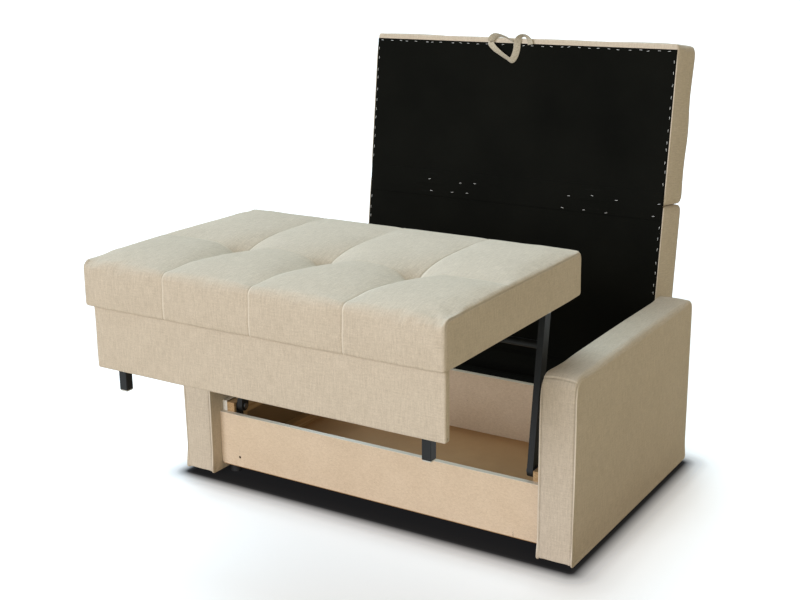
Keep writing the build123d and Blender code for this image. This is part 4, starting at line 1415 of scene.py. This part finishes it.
@dataclass(frozen=True)
class Armrest(SoftForm):
    """One slab armrest: padded sides, front panel and top strip sewn along the edges."""

    name: str
    side: float
    centre: float = 0.6675
    width: float = 0.115
    front: float = -0.3433
    length: float = 0.930
    low: float = 0.020
    high: float = 0.591
    roll: float = 0.036
    panel_over: float = 0.034
    swell: float = 0.0036
    inner_share: float = 0.15
    taper: float = 0.0060
    pinch: float = 0.0030
    wave: float = 0.0008
    rounding: float = 0.0030
    flare: float = 0.0040

    def block(self) -> SoftBlock:
        """The plain slab."""
        return SoftBlock(self.width, self.length, self.high - self.low, (0.006, self.roll, 0.024, 0.006),
                         ((-1.00, 0.0045), (-0.93, 0.0065), (-0.53, 0.0065), (-0.45, 0.013), (-0.38, 0.019),
                          (0.36, 0.019), (0.45, 0.008), (0.93, 0.006), (1.00, 0.0045)),
                         0.0095, 0.020, across_marks=(-0.0375, 0.0375), along_marks=(self.seam_along(),),
                         edge_marks=(0.005,))

    def seam_along(self) -> float:
        """Where the front panel meets the top strip, on the way over from the top's middle."""
        return -(self.length / 2 - self.roll + self.panel_over)

    def relief(self, s: Spot) -> Array:
        """Side panels swell a few millimetres and draw in towards the floor; seams sink.

        The top dips a little behind its front edge and rises again towards the rear, and the front
        panel's upright seams run along its two corners.
        """
        height = self.high - self.low
        side_face = smooth(np.abs(s.out_x), 0.3, 0.95)
        in_a = smooth(self.length / 2 - np.abs(s.a), 0.0, 0.10)
        in_h = smooth(height / 2 - np.abs(s.h), 0.0, 0.12)
        outer = np.where(np.sign(s.x) == np.sign(self.side), 1.0, self.inner_share)
        swell = self.swell * in_a * in_h * outer * side_face
        front_end = smooth(s.a, -0.20, -0.44)
        taper = -self.taper * smooth(s.h, 0.02, -height / 2) * side_face * outer * front_end
        pinch = -self.pinch * smooth(s.h, 0.12, height / 2) * side_face * front_end
        waves = self.wave * np.sin(s.a * 13 + 0.6) * np.sin(s.h * 17 + s.a * 6 + 1.0) * in_a * in_h * outer
        arched = 1 - (2 * s.x / self.width) ** 2
        front_swell = self.rounding * smooth(-s.out_a, 0.4, 1.0) * arched
        on_top = smooth(s.out_h, 0.4, 1.0)
        top_swell = self.rounding * on_top * arched
        dip = -0.0018 * on_top * bump(s.a + 0.33, 0.05) + 0.0020 * on_top * bump(s.a - 0.05, 0.25)
        groove = 0.0010 * bump(s.edge - 0.0015, 0.0015) + 0.0030 * bump(s.edge - 0.0096, 0.0017)
        corner = self.corner_share(s)
        seam = (groove - 0.0024 * bump(s.edge - 0.0055, 0.0024)) * corner
        flare = self.flare * smooth(s.h, 0.07 - height / 2, -height / 2) * corner * bump(s.edge - 0.006, 0.010)
        arch = self.past_panel(s)
        panel = (0.0024 * bump(arch, 0.0018) - 0.0012 * bump(arch - 0.0042, 0.0020)) * (1 - side_face)
        return swell + taper + pinch + waves + front_swell + top_swell + dip - seam - panel + flare

    def past_panel(self, s: Spot) -> Array:
        """Distance past the front panel's arched upper seam."""
        return s.along - self.seam_along() - 0.005 * (1 - (2 * s.x / self.width) ** 2)

    def corner_share(self, s: Spot) -> Array:
        """1 along the front panel's and the rear panel's upright corners, 0 along the top."""
        return smooth(np.abs(s.along), 0.43, 0.50)

    def mask(self, s: Spot) -> Array:
        """Painted highlight on a lip along the front panel's upright seams and its upper edge, painted shade in their
        lines.
        """
        on_corner = self.corner_share(s) * smooth(np.abs(s.along), 1.01, 0.99)
        # painted highlight on each seam's lip less painted shade in its line
        upright = (bump(s.edge - 0.0052, 0.0024) - 0.9 * bump(s.edge - 0.0098, 0.0019)) * on_corner
        arch = self.past_panel(s)
        across = (0.6 * bump(arch - 0.0042, 0.0018) - 0.6 * bump(arch, 0.0016)) * (np.abs(s.out_x) < 0.5)
        return np.where(np.abs(upright) > np.abs(across), upright, across)

    def build(self, finishes: Finishes) -> list[Object]:
        """Makes the cover and its stitches."""
        middle = (self.side * self.centre, self.front + self.length / 2, (self.low + self.high) / 2)
        sewn = sew(f"armrest_cloth_{self.name}", self.block(), Place(middle), self, finishes.fabric)
        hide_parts(f"armrest_cover_{self.name}")
        shown = (sewn.spot.along[0] > -1.02) & (sewn.spot.along[0] < 1.02)
        count = len(sewn.spot.x)
        near = int(np.argmin(np.abs(sewn.spot.edge[:count // 2, 0] - 0.0065)))
        lines = sewn.lines((near, count - 1 - near), shown)
        return belong([sewn.piece, stitches(f"armrest_stitches_{self.name}", lines, finishes.thread)], "base")


# Back

@dataclass(frozen=True)
class BackPlane:
    """The leaning plane of the back's black face, counted from its lower hinge line."""

    hinge_y: float = 0.55566
    hinge_z: float = 0.26
    lean: float = math.radians(7.25)
    fold: float = 0.630

    def up(self) -> Vector3:
        """The direction up the back."""
        return (0.0, math.sin(self.lean), math.cos(self.lean))

    def rear(self) -> Vector3:
        """The direction through the back, away from the seat."""
        return (0.0, math.cos(self.lean), -math.sin(self.lean))

    def world(self, x: Array, rise: Array, depth: Array) -> Array:
        """Points from their place across, up and through the back."""
        return Place((0.0, self.hinge_y, self.hinge_z), self.up(), self.rear()).world(x, rise, depth)

    def point(self, x: float, rise: float, depth: float) -> Vector3:
        """One point from its place across, up and through the back."""
        return tuple(self.world(np.array(x), np.array(rise), np.array(depth)).tolist())


@dataclass(frozen=True)
class BackSection(SoftForm):
    """One section of the back: a cushion in four columns with rounded ends."""

    name: str
    body: str
    node: str
    start: float
    end: float
    low_roll: float
    high_roll: float
    plane: BackPlane = BackPlane()
    width: float = 1.190
    face: float = 0.0025
    rear: float = 0.181
    crown: float = 0.0115
    column: float = 0.2975
    slump: float = 0.42
    side_waves: float = 0.0
    valley: float = 0.0055
    tuft_sink: float = 0.013
    funnel: float = 0.008
    groove: float = 0.0018
    swell: float = 0.0042
    piping: float = 0.0014

    def held(self, s: Spot) -> Array:
        """True on the seams, the tufts, the edges and the lined face, which the filling doesn't move."""
        across = np.abs(nearest(s.x, self.seams()))
        tuft = np.hypot(across, s.a) < 0.022
        low = s.h < -(self.rear - self.face) / 2 + 0.03
        return (across < 0.004) & (np.abs(s.out_x) < 0.5) | tuft & (s.out_h > 0.5) | low | s.hems()

    def relief(self, s: Spot) -> Array:
        """Four long puffs with shallow valleys between, one tuft a seam, swelling rounded sides."""
        length = self.end - self.start
        cushion_face = smooth(s.out_h, 0.1, 0.95)
        across = np.abs(nearest(s.x, self.seams()))
        to_side = self.width / 2 - np.abs(s.x)
        to_end = length / 2 - np.abs(s.a)
        crown = self.crown * (0.25 + 0.75 * smooth(to_side, 0.0, 0.11)) * (0.15 + 0.85 * smooth(to_end, 0.02, 0.16))
        crown = crown * self.slump
        valley = self.valley + self.tuft_sink * bump(s.a, 0.09, 1.5)
        valley = valley * bump(across, 0.034 + 0.02 * bump(s.a, 0.12), 1.35)
        radius = np.hypot(across, s.a)
        funnel = self.funnel * bump(radius, 0.024, 1.3)
        groove = self.groove * bump(across, 0.0017) * smooth(to_end, -0.01, 0.01)
        on_cushion = (crown - valley * smooth(to_end, 0.0, 0.08) - funnel - groove) * cushion_face
        side_face = smooth(np.abs(s.out_x), 0.3, 0.98)
        swell = self.swell * side_face * smooth(s.inset, 0.0, 0.05)
        edge_share = smooth(s.h, -0.05, 0.06) * smooth(np.abs(s.out_x), 0.1, 0.6)
        waves = self.side_waves * np.sin(s.a * 19 + 2.2 + 0.8 * np.sin(s.a * 9)) * edge_share
        piping = self.piping * bump(s.edge - 0.003, 0.0016) * smooth(s.h, -0.05, -0.03)
        return on_cushion - 0.0035 * side_face + swell + waves - piping

    def build(self, finishes: Finishes) -> list[Object]:
        """Makes the section's cushion and stitches."""
        length, height = self.end - self.start, self.rear - self.face
        block = SoftBlock(self.width, length, height, (0.005, self.low_roll, self.high_roll, 0.005),
                          ((-0.52, 0.006), (-0.40, 0.018), (0.40, 0.018), (0.52, 0.006)), 0.0105, 0.020,
                          across_marks=self.seams(), edge_marks=(0.003,))
        middle = self.plane.point(0.0, (self.start + self.end) / 2, (self.face + self.rear) / 2)
        sewn = sew(f"{self.name}_cushion_cloth", block, Place(middle, self.plane.up(), self.plane.rear()), self,
                   finishes.fabric, Filling(spacing=0.018))
        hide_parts(self.node)
        shown = sewn.spot.out_h[len(sewn.spot.x) // 2] > 0.15
        lines = sewn.lines(sewn.rows_at(self.seams()), shown)
        return belong([sewn.piece, stitches(f"{self.name}_stitches", lines, finishes.thread)], self.body)


def staple_row(start: tuple[float, float], end: tuple[float, float], pitch: float,
               generator: np.random.Generator) -> Array:
    """Staples along a straight edge, a little unevenly, as (x, rise, turn) rows.

    Args:
        start: the row's first end, across and up.
        end: its other end.
        pitch: usual distance between staples.
        generator: source of the unevenness.

    Returns:
        One row for each staple; turn is its angle from across.
    """
    first, last = np.array(start), np.array(end)
    run = float(np.linalg.norm(last - first))
    count = max(1, int(run / pitch))
    shares = (np.arange(count) + 0.5 + generator.uniform(-0.22, 0.22, count)) / count
    places = first + shares[:, None] * (last - first) + generator.normal(0, 0.0009, (count, 2))
    heading = math.atan2(last[1] - first[1], last[0] - first[0])
    return np.column_stack([places, heading + generator.normal(0, 0.14, count)])


@dataclass(frozen=True)
class BackLining(Assembly):
    """Black cloth stapled over one back section, its hem turned in."""

    name: str
    body: str
    node: str
    frame_node: str
    start: float
    end: float
    plane: BackPlane = BackPlane()
    half_width: float = 0.588
    depth: float = 0.00155

    def build(self, finishes: Finishes) -> list[Object]:
        """Makes the cloth: nearly flat, with slow waves, a rolled hem and its thickness."""
        x, rise, inner = sheet_grid(self.half_width, self.start, self.end, 150, 76)
        waves = 0.00028 * np.sin(x * 31 + rise * 12) * np.sin(rise * 27 + x * 8) * smooth(inner, 0.005, 0.05)
        depth = self.depth + waves + 0.0007 * smooth(inner, 0.004, 0.0)
        piece = black_sheet(self.name, self.plane.world(x, rise, depth), finishes.lining, 0.0006)
        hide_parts(self.node)
        2 * self.half_width
        self.end - self.start
        return belong([piece], self.body)


@dataclass(frozen=True)
class FoldCloth(Assembly):
    """The strip of lining that bridges the fold, bulging a little over the two hinges."""

    plane: BackPlane = BackPlane()
    half_width: float = 0.586
    reach: float = 0.050
    hinge_at: float = 0.330
    hinge_half: float = 0.032

    def depth(self, x: Array, up: Array) -> Array:
        """The strip's place through the back: flat, with a hump over each hinge's knuckles."""
        over = smooth(np.abs(np.abs(x) - self.hinge_at), self.hinge_half + 0.030, self.hinge_half)
        return -0.0006 + 0.0014 * smooth(np.abs(up), 0.012, self.reach) - 0.0034 * over * bump(up, 0.0075)

    def build(self, finishes: Finishes) -> list[Object]:
        """Makes the strip."""
        across = graded(-self.half_width, self.half_width, (-self.hinge_at, self.hinge_at), 0.014, 0.004, 0.05)
        fold = self.plane.fold
        up = graded(fold - self.reach, fold + self.reach, (fold,), 0.006, 0.0012, 0.012)
        x, rise = np.meshgrid(across, up, indexing="ij")
        points = self.plane.world(x, rise, self.depth(x, rise - fold))
        piece = black_sheet("fold_lining", points, finishes.lining)
        bpy.context.view_layer.update()
        low = self.plane.point(0.0, fold - 0.010, 0.0)
        high = self.plane.point(0.0, fold + 0.010, 0.0)
        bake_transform(piece)
        2 * self.half_width
        2 * self.reach
        return [piece]


@dataclass(frozen=True)
class GapCloth(Assembly):
    """The black cloth that closes the gap between the rear shelf and the back's lower edge."""

    plane: BackPlane = BackPlane()
    half_width: float = 0.586
    shelf_hem: tuple[float, float] = (0.502, 0.2368)
    rise_from: tuple[float, float] = (0.5215, 0.2400)
    over_hinges: tuple[float, float] = (0.5262, 0.2720)
    back_hem: float = 0.052
    front: float = -0.0007

    def build(self, finishes: Finishes) -> list[Object]:
        """Makes the cloth: one smooth line from the shelf up to the back, carried across."""
        touch = self.plane.point(0.0, self.back_hem - 0.016, self.front)
        top = self.plane.point(0.0, self.back_hem, self.front)
        stations = [self.shelf_hem, (0.512, 0.2369), self.rise_from, self.over_hinges, touch[1:], top[1:]]
        line = spline(np.array(stations), 8)
        x = np.linspace(-self.half_width, self.half_width, 118)[:, None]
        y, z = line[None, :, 0] + 0 * x, line[None, :, 1] + 0 * x
        slack = 0.0008 * np.sin(x * 19 + 0.8) * bump(z - 0.257, 0.010)
        piece = black_sheet("back_gap_lining", np.stack([x + 0 * y, y - slack, z], axis=-1), finishes.lining)
        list(self.rise_from)
        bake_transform(piece)
        2 * self.half_width
        return [piece]


@dataclass(frozen=True)
class BackStaples(Assembly):
    """The staples that hold the back's lining: round its edges, and in two groups at the hinges."""

    plane: BackPlane = BackPlane()
    half_width: float = 0.588
    top: float = 1.152
    low: float = 0.016
    inset: float = 0.007
    pitch: float = 0.036
    front: float = 0.0009
    on_strip: float = 0.0006
    seed: int = 11
    above_fold: tuple[tuple[float, float], ...] = (
        (-0.328, 0.013), (-0.196, 0.009), (-0.136, 0.012), (0.240, 0.004), (0.329, 0.013), (0.419, 0.005),
        (0.573, 0.007))
    below_fold: tuple[tuple[float, float], ...] = (
        (-0.318, -0.030), (-0.228, -0.028), (-0.166, -0.026), (0.218, -0.040), (0.300, -0.040), (0.384, -0.042),
        (0.556, -0.036))

    def rows(self, low: float, high: float, generator: np.random.Generator) -> Array:
        """Both side rows between two heights."""
        edge = self.half_width - self.inset
        return np.concatenate([staple_row((sign * edge, low), (sign * edge, high), self.pitch, generator)
                               for sign in (-1, 1)])

    def build(self, finishes: Finishes) -> list[Object]:
        """Makes the staples of both sections."""
        generator = np.random.default_rng(self.seed)
        fold, edge = self.plane.fold, self.half_width - self.inset
        top_row = staple_row((-edge, self.top - self.inset), (edge, self.top - self.inset), self.pitch, generator)
        low_row = staple_row((-edge, self.low + self.inset), (edge, self.low + self.inset), self.pitch, generator)
        upper = np.concatenate([self.rows(fold + 0.055, self.top - 0.02, generator), top_row])
        lower = np.concatenate([self.rows(self.low + 0.02, fold - 0.055, generator), low_row])
        made = []
        for name, body, rows, extra in (("upper_back_staples", "back_upper", upper, self.above_fold),
                                        ("lower_back_staples", "back_lower", lower, self.below_fold)):
            group = np.array([(x, fold + rise, generator.normal(0, 0.12)) for x, rise in extra])
            on_strip = FoldCloth(self.plane).depth(group[:, 0], group[:, 1] - fold) - self.on_strip
            depth = np.concatenate([np.full(len(rows), self.front), on_strip])
            x, rise, turn = np.concatenate([rows, group]).T
            forwards = np.column_stack([np.cos(turn), np.sin(turn)[:, None] * self.plane.up()[1:]])
            outs = np.tile(-np.array(self.plane.rear()), (len(x), 1))
            places = self.plane.world(x, rise, depth)
            made += belong([stamp(name, *staple_shape(), places, forwards, outs, finishes.staple)], body)
        return made


@dataclass(frozen=True)
class PullStrap(Assembly):
    """The loop of cloth strap that hangs over the top edge in a loose V."""

    plane: BackPlane = BackPlane()
    half_width: float = 0.0125
    thickness: float = 0.0024
    centre: tuple[Vector3, ...] = (
        (-0.006, 0.506, 0.002), (-0.014, 0.522, 0.004), (-0.036, 0.538, 0.009), (-0.066, 0.547, 0.012),
        (-0.090, 0.543, 0.016), (-0.101, 0.524, 0.017), (-0.089, 0.505, 0.014), (-0.066, 0.488, 0.011),
        (-0.041, 0.473, 0.009), (-0.018, 0.462, 0.008), (-0.005, 0.479, 0.008), (0.001, 0.503, 0.009),
        (0.003, 0.522, 0.012), (0.008, 0.539, 0.015), (0.021, 0.549, 0.014), (0.036, 0.547, 0.011),
        (0.047, 0.535, 0.007), (0.051, 0.519, 0.003))
    spread: tuple[Vector3, ...] = (
        (0.6, 0.2, 0.5), (0.10, 0.42, 0.90), (0.10, 0.35, 0.93), (0.05, 0.42, 0.90), (0.10, 0.75, 0.60),
        (0.05, 0.98, 0.20), (0.15, 0.92, 0.36), (0.15, 0.80, 0.58), (0.15, 0.68, 0.70), (-0.20, 0.74, 0.62),
        (-0.66, 0.36, 0.64), (-0.76, 0.05, 0.64), (-0.74, -0.05, 0.66), (-0.60, -0.05, 0.78), (-0.15, 0.28, 0.94),
        (0.42, 0.40, 0.80), (0.82, 0.30, 0.48), (0.95, 0.12, 0.20))

    def build(self, finishes: Finishes) -> list[Object]:
        """Makes the strap: a thin rounded profile carried along a smooth line, turning with it.

        The line and the direction of the strap's width are read from the stations by a Catmull-Rom
        curve. The profile is a flat oval, and both ends are drawn to a closed edge.
        """
        centre = spline(np.array(self.centre), 14)
        spread = unit(spline(np.array(self.spread), 14))
        centre[:, 1] += self.plane.fold
        line = self.plane.world(centre[:, 0], centre[:, 1], -centre[:, 2])
        wide = spread[:, :1] * np.array((1.0, 0, 0)) + spread[:, 1:2] * np.array(self.plane.up()) \
            - spread[:, 2:] * np.array(self.plane.rear())
        tangent = unit(np.gradient(line, axis=0))
        wide = unit(wide - (wide * tangent).sum(1, keepdims=True) * tangent)
        flat = np.cross(tangent, wide)
        turn = np.linspace(0, math.tau, 24, endpoint=False)
        oval_w = np.sign(np.cos(turn)) * np.abs(np.cos(turn)) ** 0.45 * self.half_width
        oval_t = np.sign(np.sin(turn)) * np.abs(np.sin(turn)) ** 0.8 * self.thickness / 2
        shut = np.ones(len(line))
        shut[[0, -1]] = 0.02
        ring = oval_w[None, :, None] * wide[:, None] + oval_t[None, :, None] * flat[:, None] * shut[:, None, None]
        hem = 0.00035 * bump(np.abs(oval_w) - self.half_width * 0.72, 0.0012)
        ring = ring - (np.sign(oval_t) * hem)[None, :, None] * flat[:, None] * shut[:, None, None]
        points = line[:, None] + ring
        faces = grid_faces(*points.shape[:2], True, False)
        piece = new_piece("pull_strap_cloth", points.reshape(-1, 3), faces, finishes.strap)
        run = np.concatenate([[0], np.cumsum(np.linalg.norm(np.diff(line, axis=0), axis=1))])
        around = turn / math.tau * 4 * self.half_width
        place = np.stack(np.broadcast_arrays(around[None, :], run[:, None]), axis=-1).reshape(-1, 2)
        set_cloth_map(piece.data, place[faces])
        closed_ends(piece.data, len(turn))
        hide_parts("pull_strap")
        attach(piece, "back_upper")
        self.plane.rear()
        self.plane.point(0.0, self.plane.fold + 0.5, 0.0014)
        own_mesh(piece)
        return [piece]


def spline(points: Array, steps: int) -> Array:
    """A Catmull-Rom curve through points.

    Args:
        points: one a row.
        steps: places for each span.

    Returns:
        The curve's points; each span mixes its four nearest points by cubic weights.
    """
    padded = np.concatenate([2 * points[:1] - points[1:2], points, 2 * points[-1:] - points[-2:-1]])
    t = (np.arange(steps) / steps)[None, :, None]
    p0, p1, p2, p3 = (padded[i:len(padded) - 3 + i][:, None] for i in range(4))
    curve = 0.5 * (2 * p1 + (p2 - p0) * t + (2 * p0 - 5 * p1 + 4 * p2 - p3) * t ** 2
                   + (3 * p1 - p0 - 3 * p2 + p3) * t ** 3)
    return np.concatenate([curve.reshape(-1, points.shape[1]), points[-1:]])


def closed_ends(mesh: Mesh, ring: int) -> None:
    """Fills a tube's two open ends.

    Args:
        mesh: the tube.
        ring: how many points each of its rings has.
    """
    work = bmesh.new()
    work.from_mesh(mesh)
    work.verts.ensure_lookup_table()
    count = len(work.verts)
    for indices in (range(ring), range(count - ring, count)):
        edges = {e for i in indices for e in work.verts[i].link_edges if e.is_boundary}
        bmesh.ops.holes_fill(work, edges=list(edges), sides=0)
    bmesh.ops.recalc_face_normals(work, faces=work.faces)
    work.to_mesh(mesh)
    work.free()
    mesh.update()


# Storage box

@dataclass(frozen=True)
class BoardMarks(Assembly):
    """A drilled hole, a scratch above it and a hairline crack in the raw front board, each dark with painted shade."""

    face: float = -0.2953
    hole_x: float = -0.532
    hole_z: float = 0.0736
    hole_radius: float = 0.0042
    crack_x: float = 0.508
    crack_low: float = 0.0406
    crack_high: float = 0.0615

    def hole(self, finishes: Finishes) -> Object:
        """A shallow dish whose rim lies on the board, dark with painted shade for the hole: rings shrinking to a point.
        """
        turn = np.linspace(0, math.tau, 20, endpoint=False)
        sizes = np.array([1.12, 1.0, 0.75, 0.4, 0.02]) * self.hole_radius
        lift = np.array([0.00002, 0.00012, 0.00012, 0.00011, 0.00010])
        x = self.hole_x + sizes[:, None] * np.cos(turn)
        z = self.hole_z + sizes[:, None] * np.sin(turn)
        y = self.face - lift[:, None] + 0 * turn
        points = np.stack([x, y, z], axis=-1)
        return new_piece("front_board_hole", points.reshape(-1, 3), grid_faces(5, 20, True, False), finishes.recess)

    def crack(self, name: str, x: float, low: float, high: float, width: float, finishes: Finishes) -> Object:
        """A thin jagged sliver, widest near its lower end, dark with painted shade for its groove.

        Args:
            name: the piece's name.
            x: its place across.
            low: its lower end.
            high: its upper end.
            width: half its width at the lower end.
            finishes: every finish.

        Returns:
            The new piece.
        """
        z = np.linspace(low, high, 22)
        share = (z - z[0]) / (z[-1] - z[0])
        wander = width * (1.5 * np.sin(share * 19) + np.sin(share * 41 + 1))
        half = width * (1 - share) ** 0.5 + 0.00005
        across = np.stack([x + wander - half, x + wander + half])
        points = np.stack([across, np.full_like(across, self.face - 0.0001), np.stack([z, z])], axis=-1)
        return new_piece(name, points.reshape(-1, 3), grid_faces(2, 22, False, False), finishes.recess)

    def build(self, finishes: Finishes) -> list[Object]:
        """Makes the three marks."""
        marks = [self.hole(finishes),
                 self.crack("front_board_crack", self.crack_x, self.crack_low, self.crack_high, 0.0006, finishes),
                 self.crack("front_board_scratch", self.hole_x, self.hole_z + 0.014, self.hole_z + 0.032, 0.0002,
                            finishes)]
        return belong(marks, "base")


@dataclass(frozen=True)
class SeatLining(Assembly):
    """Black cloth stapled under the seat's frame."""

    half_width: float = 0.594
    front: float = -0.7916
    rear: float = -0.0756
    level: float = 0.7489
    inset: float = 0.008
    pitch: float = 0.05
    seed: int = 7

    def build(self, finishes: Finishes) -> list[Object]:
        """Makes the cloth, sagging a little between its staples, and the staples."""
        x, y, inner = sheet_grid(self.half_width, self.front, self.rear, 120, 74)
        waves = 0.00025 * np.sin(x * 29 + y * 9) * np.sin(y * 25 + x * 6) * smooth(inner, 0.005, 0.05)
        points = np.stack([x, y, self.level + waves], axis=-1)
        cloth = black_sheet("seat_lining_cloth", points, finishes.lining, flip=True)
        generator = np.random.default_rng(self.seed)
        edge, low, high = self.half_width - self.inset, self.front + self.inset, self.rear - self.inset
        corners = [(-edge, low), (edge, low), (edge, high), (-edge, high)]
        rows = np.concatenate([staple_row(corners[i], corners[(i + 1) % 4], self.pitch, generator) for i in range(4)])
        places = np.column_stack([rows[:, :2], np.full(len(rows), self.level - 0.0004)])
        forwards = np.column_stack([np.cos(rows[:, 2]), np.sin(rows[:, 2]), np.zeros(len(rows))])
        staples = stamp("seat_lining_staples", *staple_shape(), places, forwards, np.tile((0.0, 0, -1), (len(rows), 1)),
                        finishes.staple)
        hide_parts("seat_lining")
        2 * self.half_width
        return belong([cloth], "seat") + belong([staples], "seat")


class CarriedOver:
    """The CAD's own nodes that stay in view, each with the finish of its slot."""

    grain_deep = ("side_rails_left", "side_rails_right", "floor_bearers")

    def dress(self, finishes: Finishes) -> int:
        """Gives every node its finish and says how many there are."""
        slots = {part["node"]: part["material_slot"] for part in frame["record"]["subparts"]}
        for name, node in frame["nodes"].items():
            material = finishes.wood_deep if name in self.grain_deep else getattr(finishes, slots[name])
            material = finishes.dull_zinc if name == "pivot_bolts" else material
            node.data.materials.clear()
            node.data.materials.append(material)
        return len(frame["nodes"])


# Studio

@dataclass(frozen=True)
class Studio:
    """Pale floor, soft lights and the picture's camera."""

    floor_reach: float = 60.0
    camera_place: Vector3 = (2.08636, -3.44437, 1.79590)
    azimuth: float = math.radians(32.0118)
    elevation: float = math.radians(16.103)
    roll: float = math.radians(-0.6583)
    lens: float = 57.8104
    bounce: Colour = (0.560, 0.455, 0.320)
    glow: float = 0.40
    base_half: float = 0.714
    base_deep: tuple[float, float] = (-0.338, 0.580)
    # painted contact shadow round the base: its reach on the floor and its ramp from near black to white
    contact_reach: float = 0.17
    contact_stops: tuple[tuple[float, Colour], ...] = (
        (0.0, (0.018, 0.018, 0.019)), (0.08, (0.030, 0.030, 0.031)), (0.15, (0.22, 0.22, 0.225)),
        (0.32, (0.62, 0.62, 0.625)), (0.60, (0.90, 0.90, 0.90)), (1.0, (1.0, 1.0, 1.0)))

    def floor_material(self) -> Material:
        """Pale floor that looks white where it is open, with a painted contact shadow where the base nearly touches it.

        The painted shadow follows the distance on the floor from the base's own rectangle; it darkens both the diffuse
        and the glow.
        """
        r = Recipe("studio_floor")
        place = r.object_place()
        speckle = r.noise(place, 40, 2.0)
        x, y, _ = r.parts(place)
        low_y, high_y = self.base_deep
        beyond_x = (x.apply("ABSOLUTE") - self.base_half).apply("MAXIMUM", 0.0)
        beyond_y = ((y - (low_y + high_y) / 2).apply("ABSOLUTE") - (high_y - low_y) / 2).apply("MAXIMUM", 0.0)
        gap = (beyond_x * beyond_x + beyond_y * beyond_y).apply("SQRT") * (1 / self.contact_reach)
        # painted contact shadow, read from the distance past the base's rectangle
        depth = r.node("ValToRGB", {0: gap}, stops=self.contact_stops).outputs[0]
        white = r.mixed(speckle, (0.905, 0.925, 0.965), (0.915, 0.935, 0.975))
        shaded = r.node("Mix", {0: 1.0, 6: white, 7: depth}, data_type="RGBA", blend_type="MULTIPLY")
        plain = r.node("BsdfDiffuse", {"Color": self.bounce})
        diffuse = r.node("BsdfDiffuse", {"Color": shaded.outputs[2]})
        glow = r.node("Emission", {"Color": depth, "Strength": self.glow})
        both = r.node("AddShader", {0: diffuse.outputs[0], 1: glow.outputs[0]})
        return r.end(r.node("MixShader", {0: r.seen(), 1: plain.outputs[0], 2: both.outputs[0]}))

    def floor(self) -> None:
        """One large square floor at height zero."""
        reach = self.floor_reach
        x, y = np.meshgrid(np.array([-reach, reach]), np.array([-reach, reach]), indexing="ij")
        points = np.stack([x, y, np.zeros_like(x)], axis=-1)
        faces = grid_faces(2, 2, False, False)
        new_piece("studio_floor", points.reshape(-1, 3), faces, self.floor_material())

    def world(self) -> None:
        """Even light from everywhere, and plain white where the camera looks past the floor."""
        r = Recipe("studio", world=True)
        soft = r.node("Background", {"Color": (1.0, 0.885, 0.640), "Strength": 0.285})
        white = r.node("Background", {"Color": (1.0, 1.0, 1.0), "Strength": 1.0})
        bpy.context.scene.world = r.end(
            r.node("MixShader", {0: r.seen(), 1: soft.outputs[0], 2: white.outputs[0]}))

    def lamp(self, name: str, toward: Vector3, strength: float, colour: Colour, angle: float) -> None:
        """A wide soft sun.

        Args:
            name: the lamp's name.
            toward: direction from the sofa to the lamp.
            strength: its irradiance.
            colour: its tint.
            angle: its width in degrees.
        """
        light = bpy.data.lights.new(name, "SUN")
        light.energy = strength
        light.color = colour
        light.angle = math.radians(angle)
        lamp = bpy.data.objects.new(name, light)
        bpy.context.scene.collection.objects.link(lamp)
        lamp.matrix_world = Vector(toward).to_track_quat("Z", "Y").to_matrix().to_4x4()

    def camera(self) -> None:
        """The camera, solved from the picture's own straight edges: set down, then turned, tilted and rolled."""
        data = bpy.data.cameras.new("picture_camera")
        data.sensor_fit = "HORIZONTAL"
        data.sensor_width = 36
        data.lens = self.lens
        data.clip_start = 0.05
        data.clip_end = 500
        camera = bpy.data.objects.new("picture_camera", data)
        bpy.context.scene.collection.objects.link(camera)
        turns = ((self.azimuth, "Z"), (math.pi / 2 - self.elevation, "X"), (self.roll, "Z"))
        camera.matrix_world = Matrix.Translation(self.camera_place)
        for angle, axis in turns:
            camera.matrix_world = camera.matrix_world @ Matrix.Rotation(angle, 4, axis)
        bpy.context.scene.camera = camera

    def build(self) -> None:
        """Makes the floor, the lights and the camera."""
        self.floor()
        self.world()
        self.lamp("key", (-0.14, -0.93, 0.27), 2.20, (0.88, 0.91, 1.0), 36)
        self.lamp("fill", (0.70, -0.65, 0.25), 0.42, (1.0, 0.92, 0.72), 50)
        self.lamp("overhead", (-0.46, 0.42, 0.78), 2.70, (0.66, 0.865, 0.98), 50)
        self.camera()
        view = bpy.context.scene.view_settings
        view.view_transform = "Standard"


def main() -> None:
    """Builds the sofa bed's looks, sub-assembly by sub-assembly, then the studio."""
    logging.basicConfig(level=logging.INFO, format="%(message)s")
    finishes = Finishes()
    log.info("dressed %d CAD nodes", CarriedOver().dress(finishes))
    assemblies = [
        TuftedSeat(), Skirt(), SeatLining(), Armrest("left", -1.0), Armrest("right", 1.0),
        BackSection("lower_back", "back_lower", "lower_back_cushion", 0.010, 0.6275, 0.022, 0.012),
        BackSection("upper_back", "back_upper", "upper_back_cushion", 0.6315, 1.170, 0.022, 0.024,
                    side_waves=0.0020),
        BackLining("lower_back_lining_cloth", "back_lower", "lower_back_lining", "lower_back_frame", 0.016, 0.6285),
        BackLining("upper_back_lining_cloth", "back_upper", "upper_back_lining", "upper_back_frame", 0.6315, 1.152),
        FoldCloth(), GapCloth(), BackStaples(), PullStrap(), BoardMarks(),
    ]
    for assembly in assemblies:
        for piece in assembly.build(finishes):
            log.info("%s: %d faces", piece.name, len(piece.data.polygons))
    Studio().build()


if __name__ == "__main__":
    main()
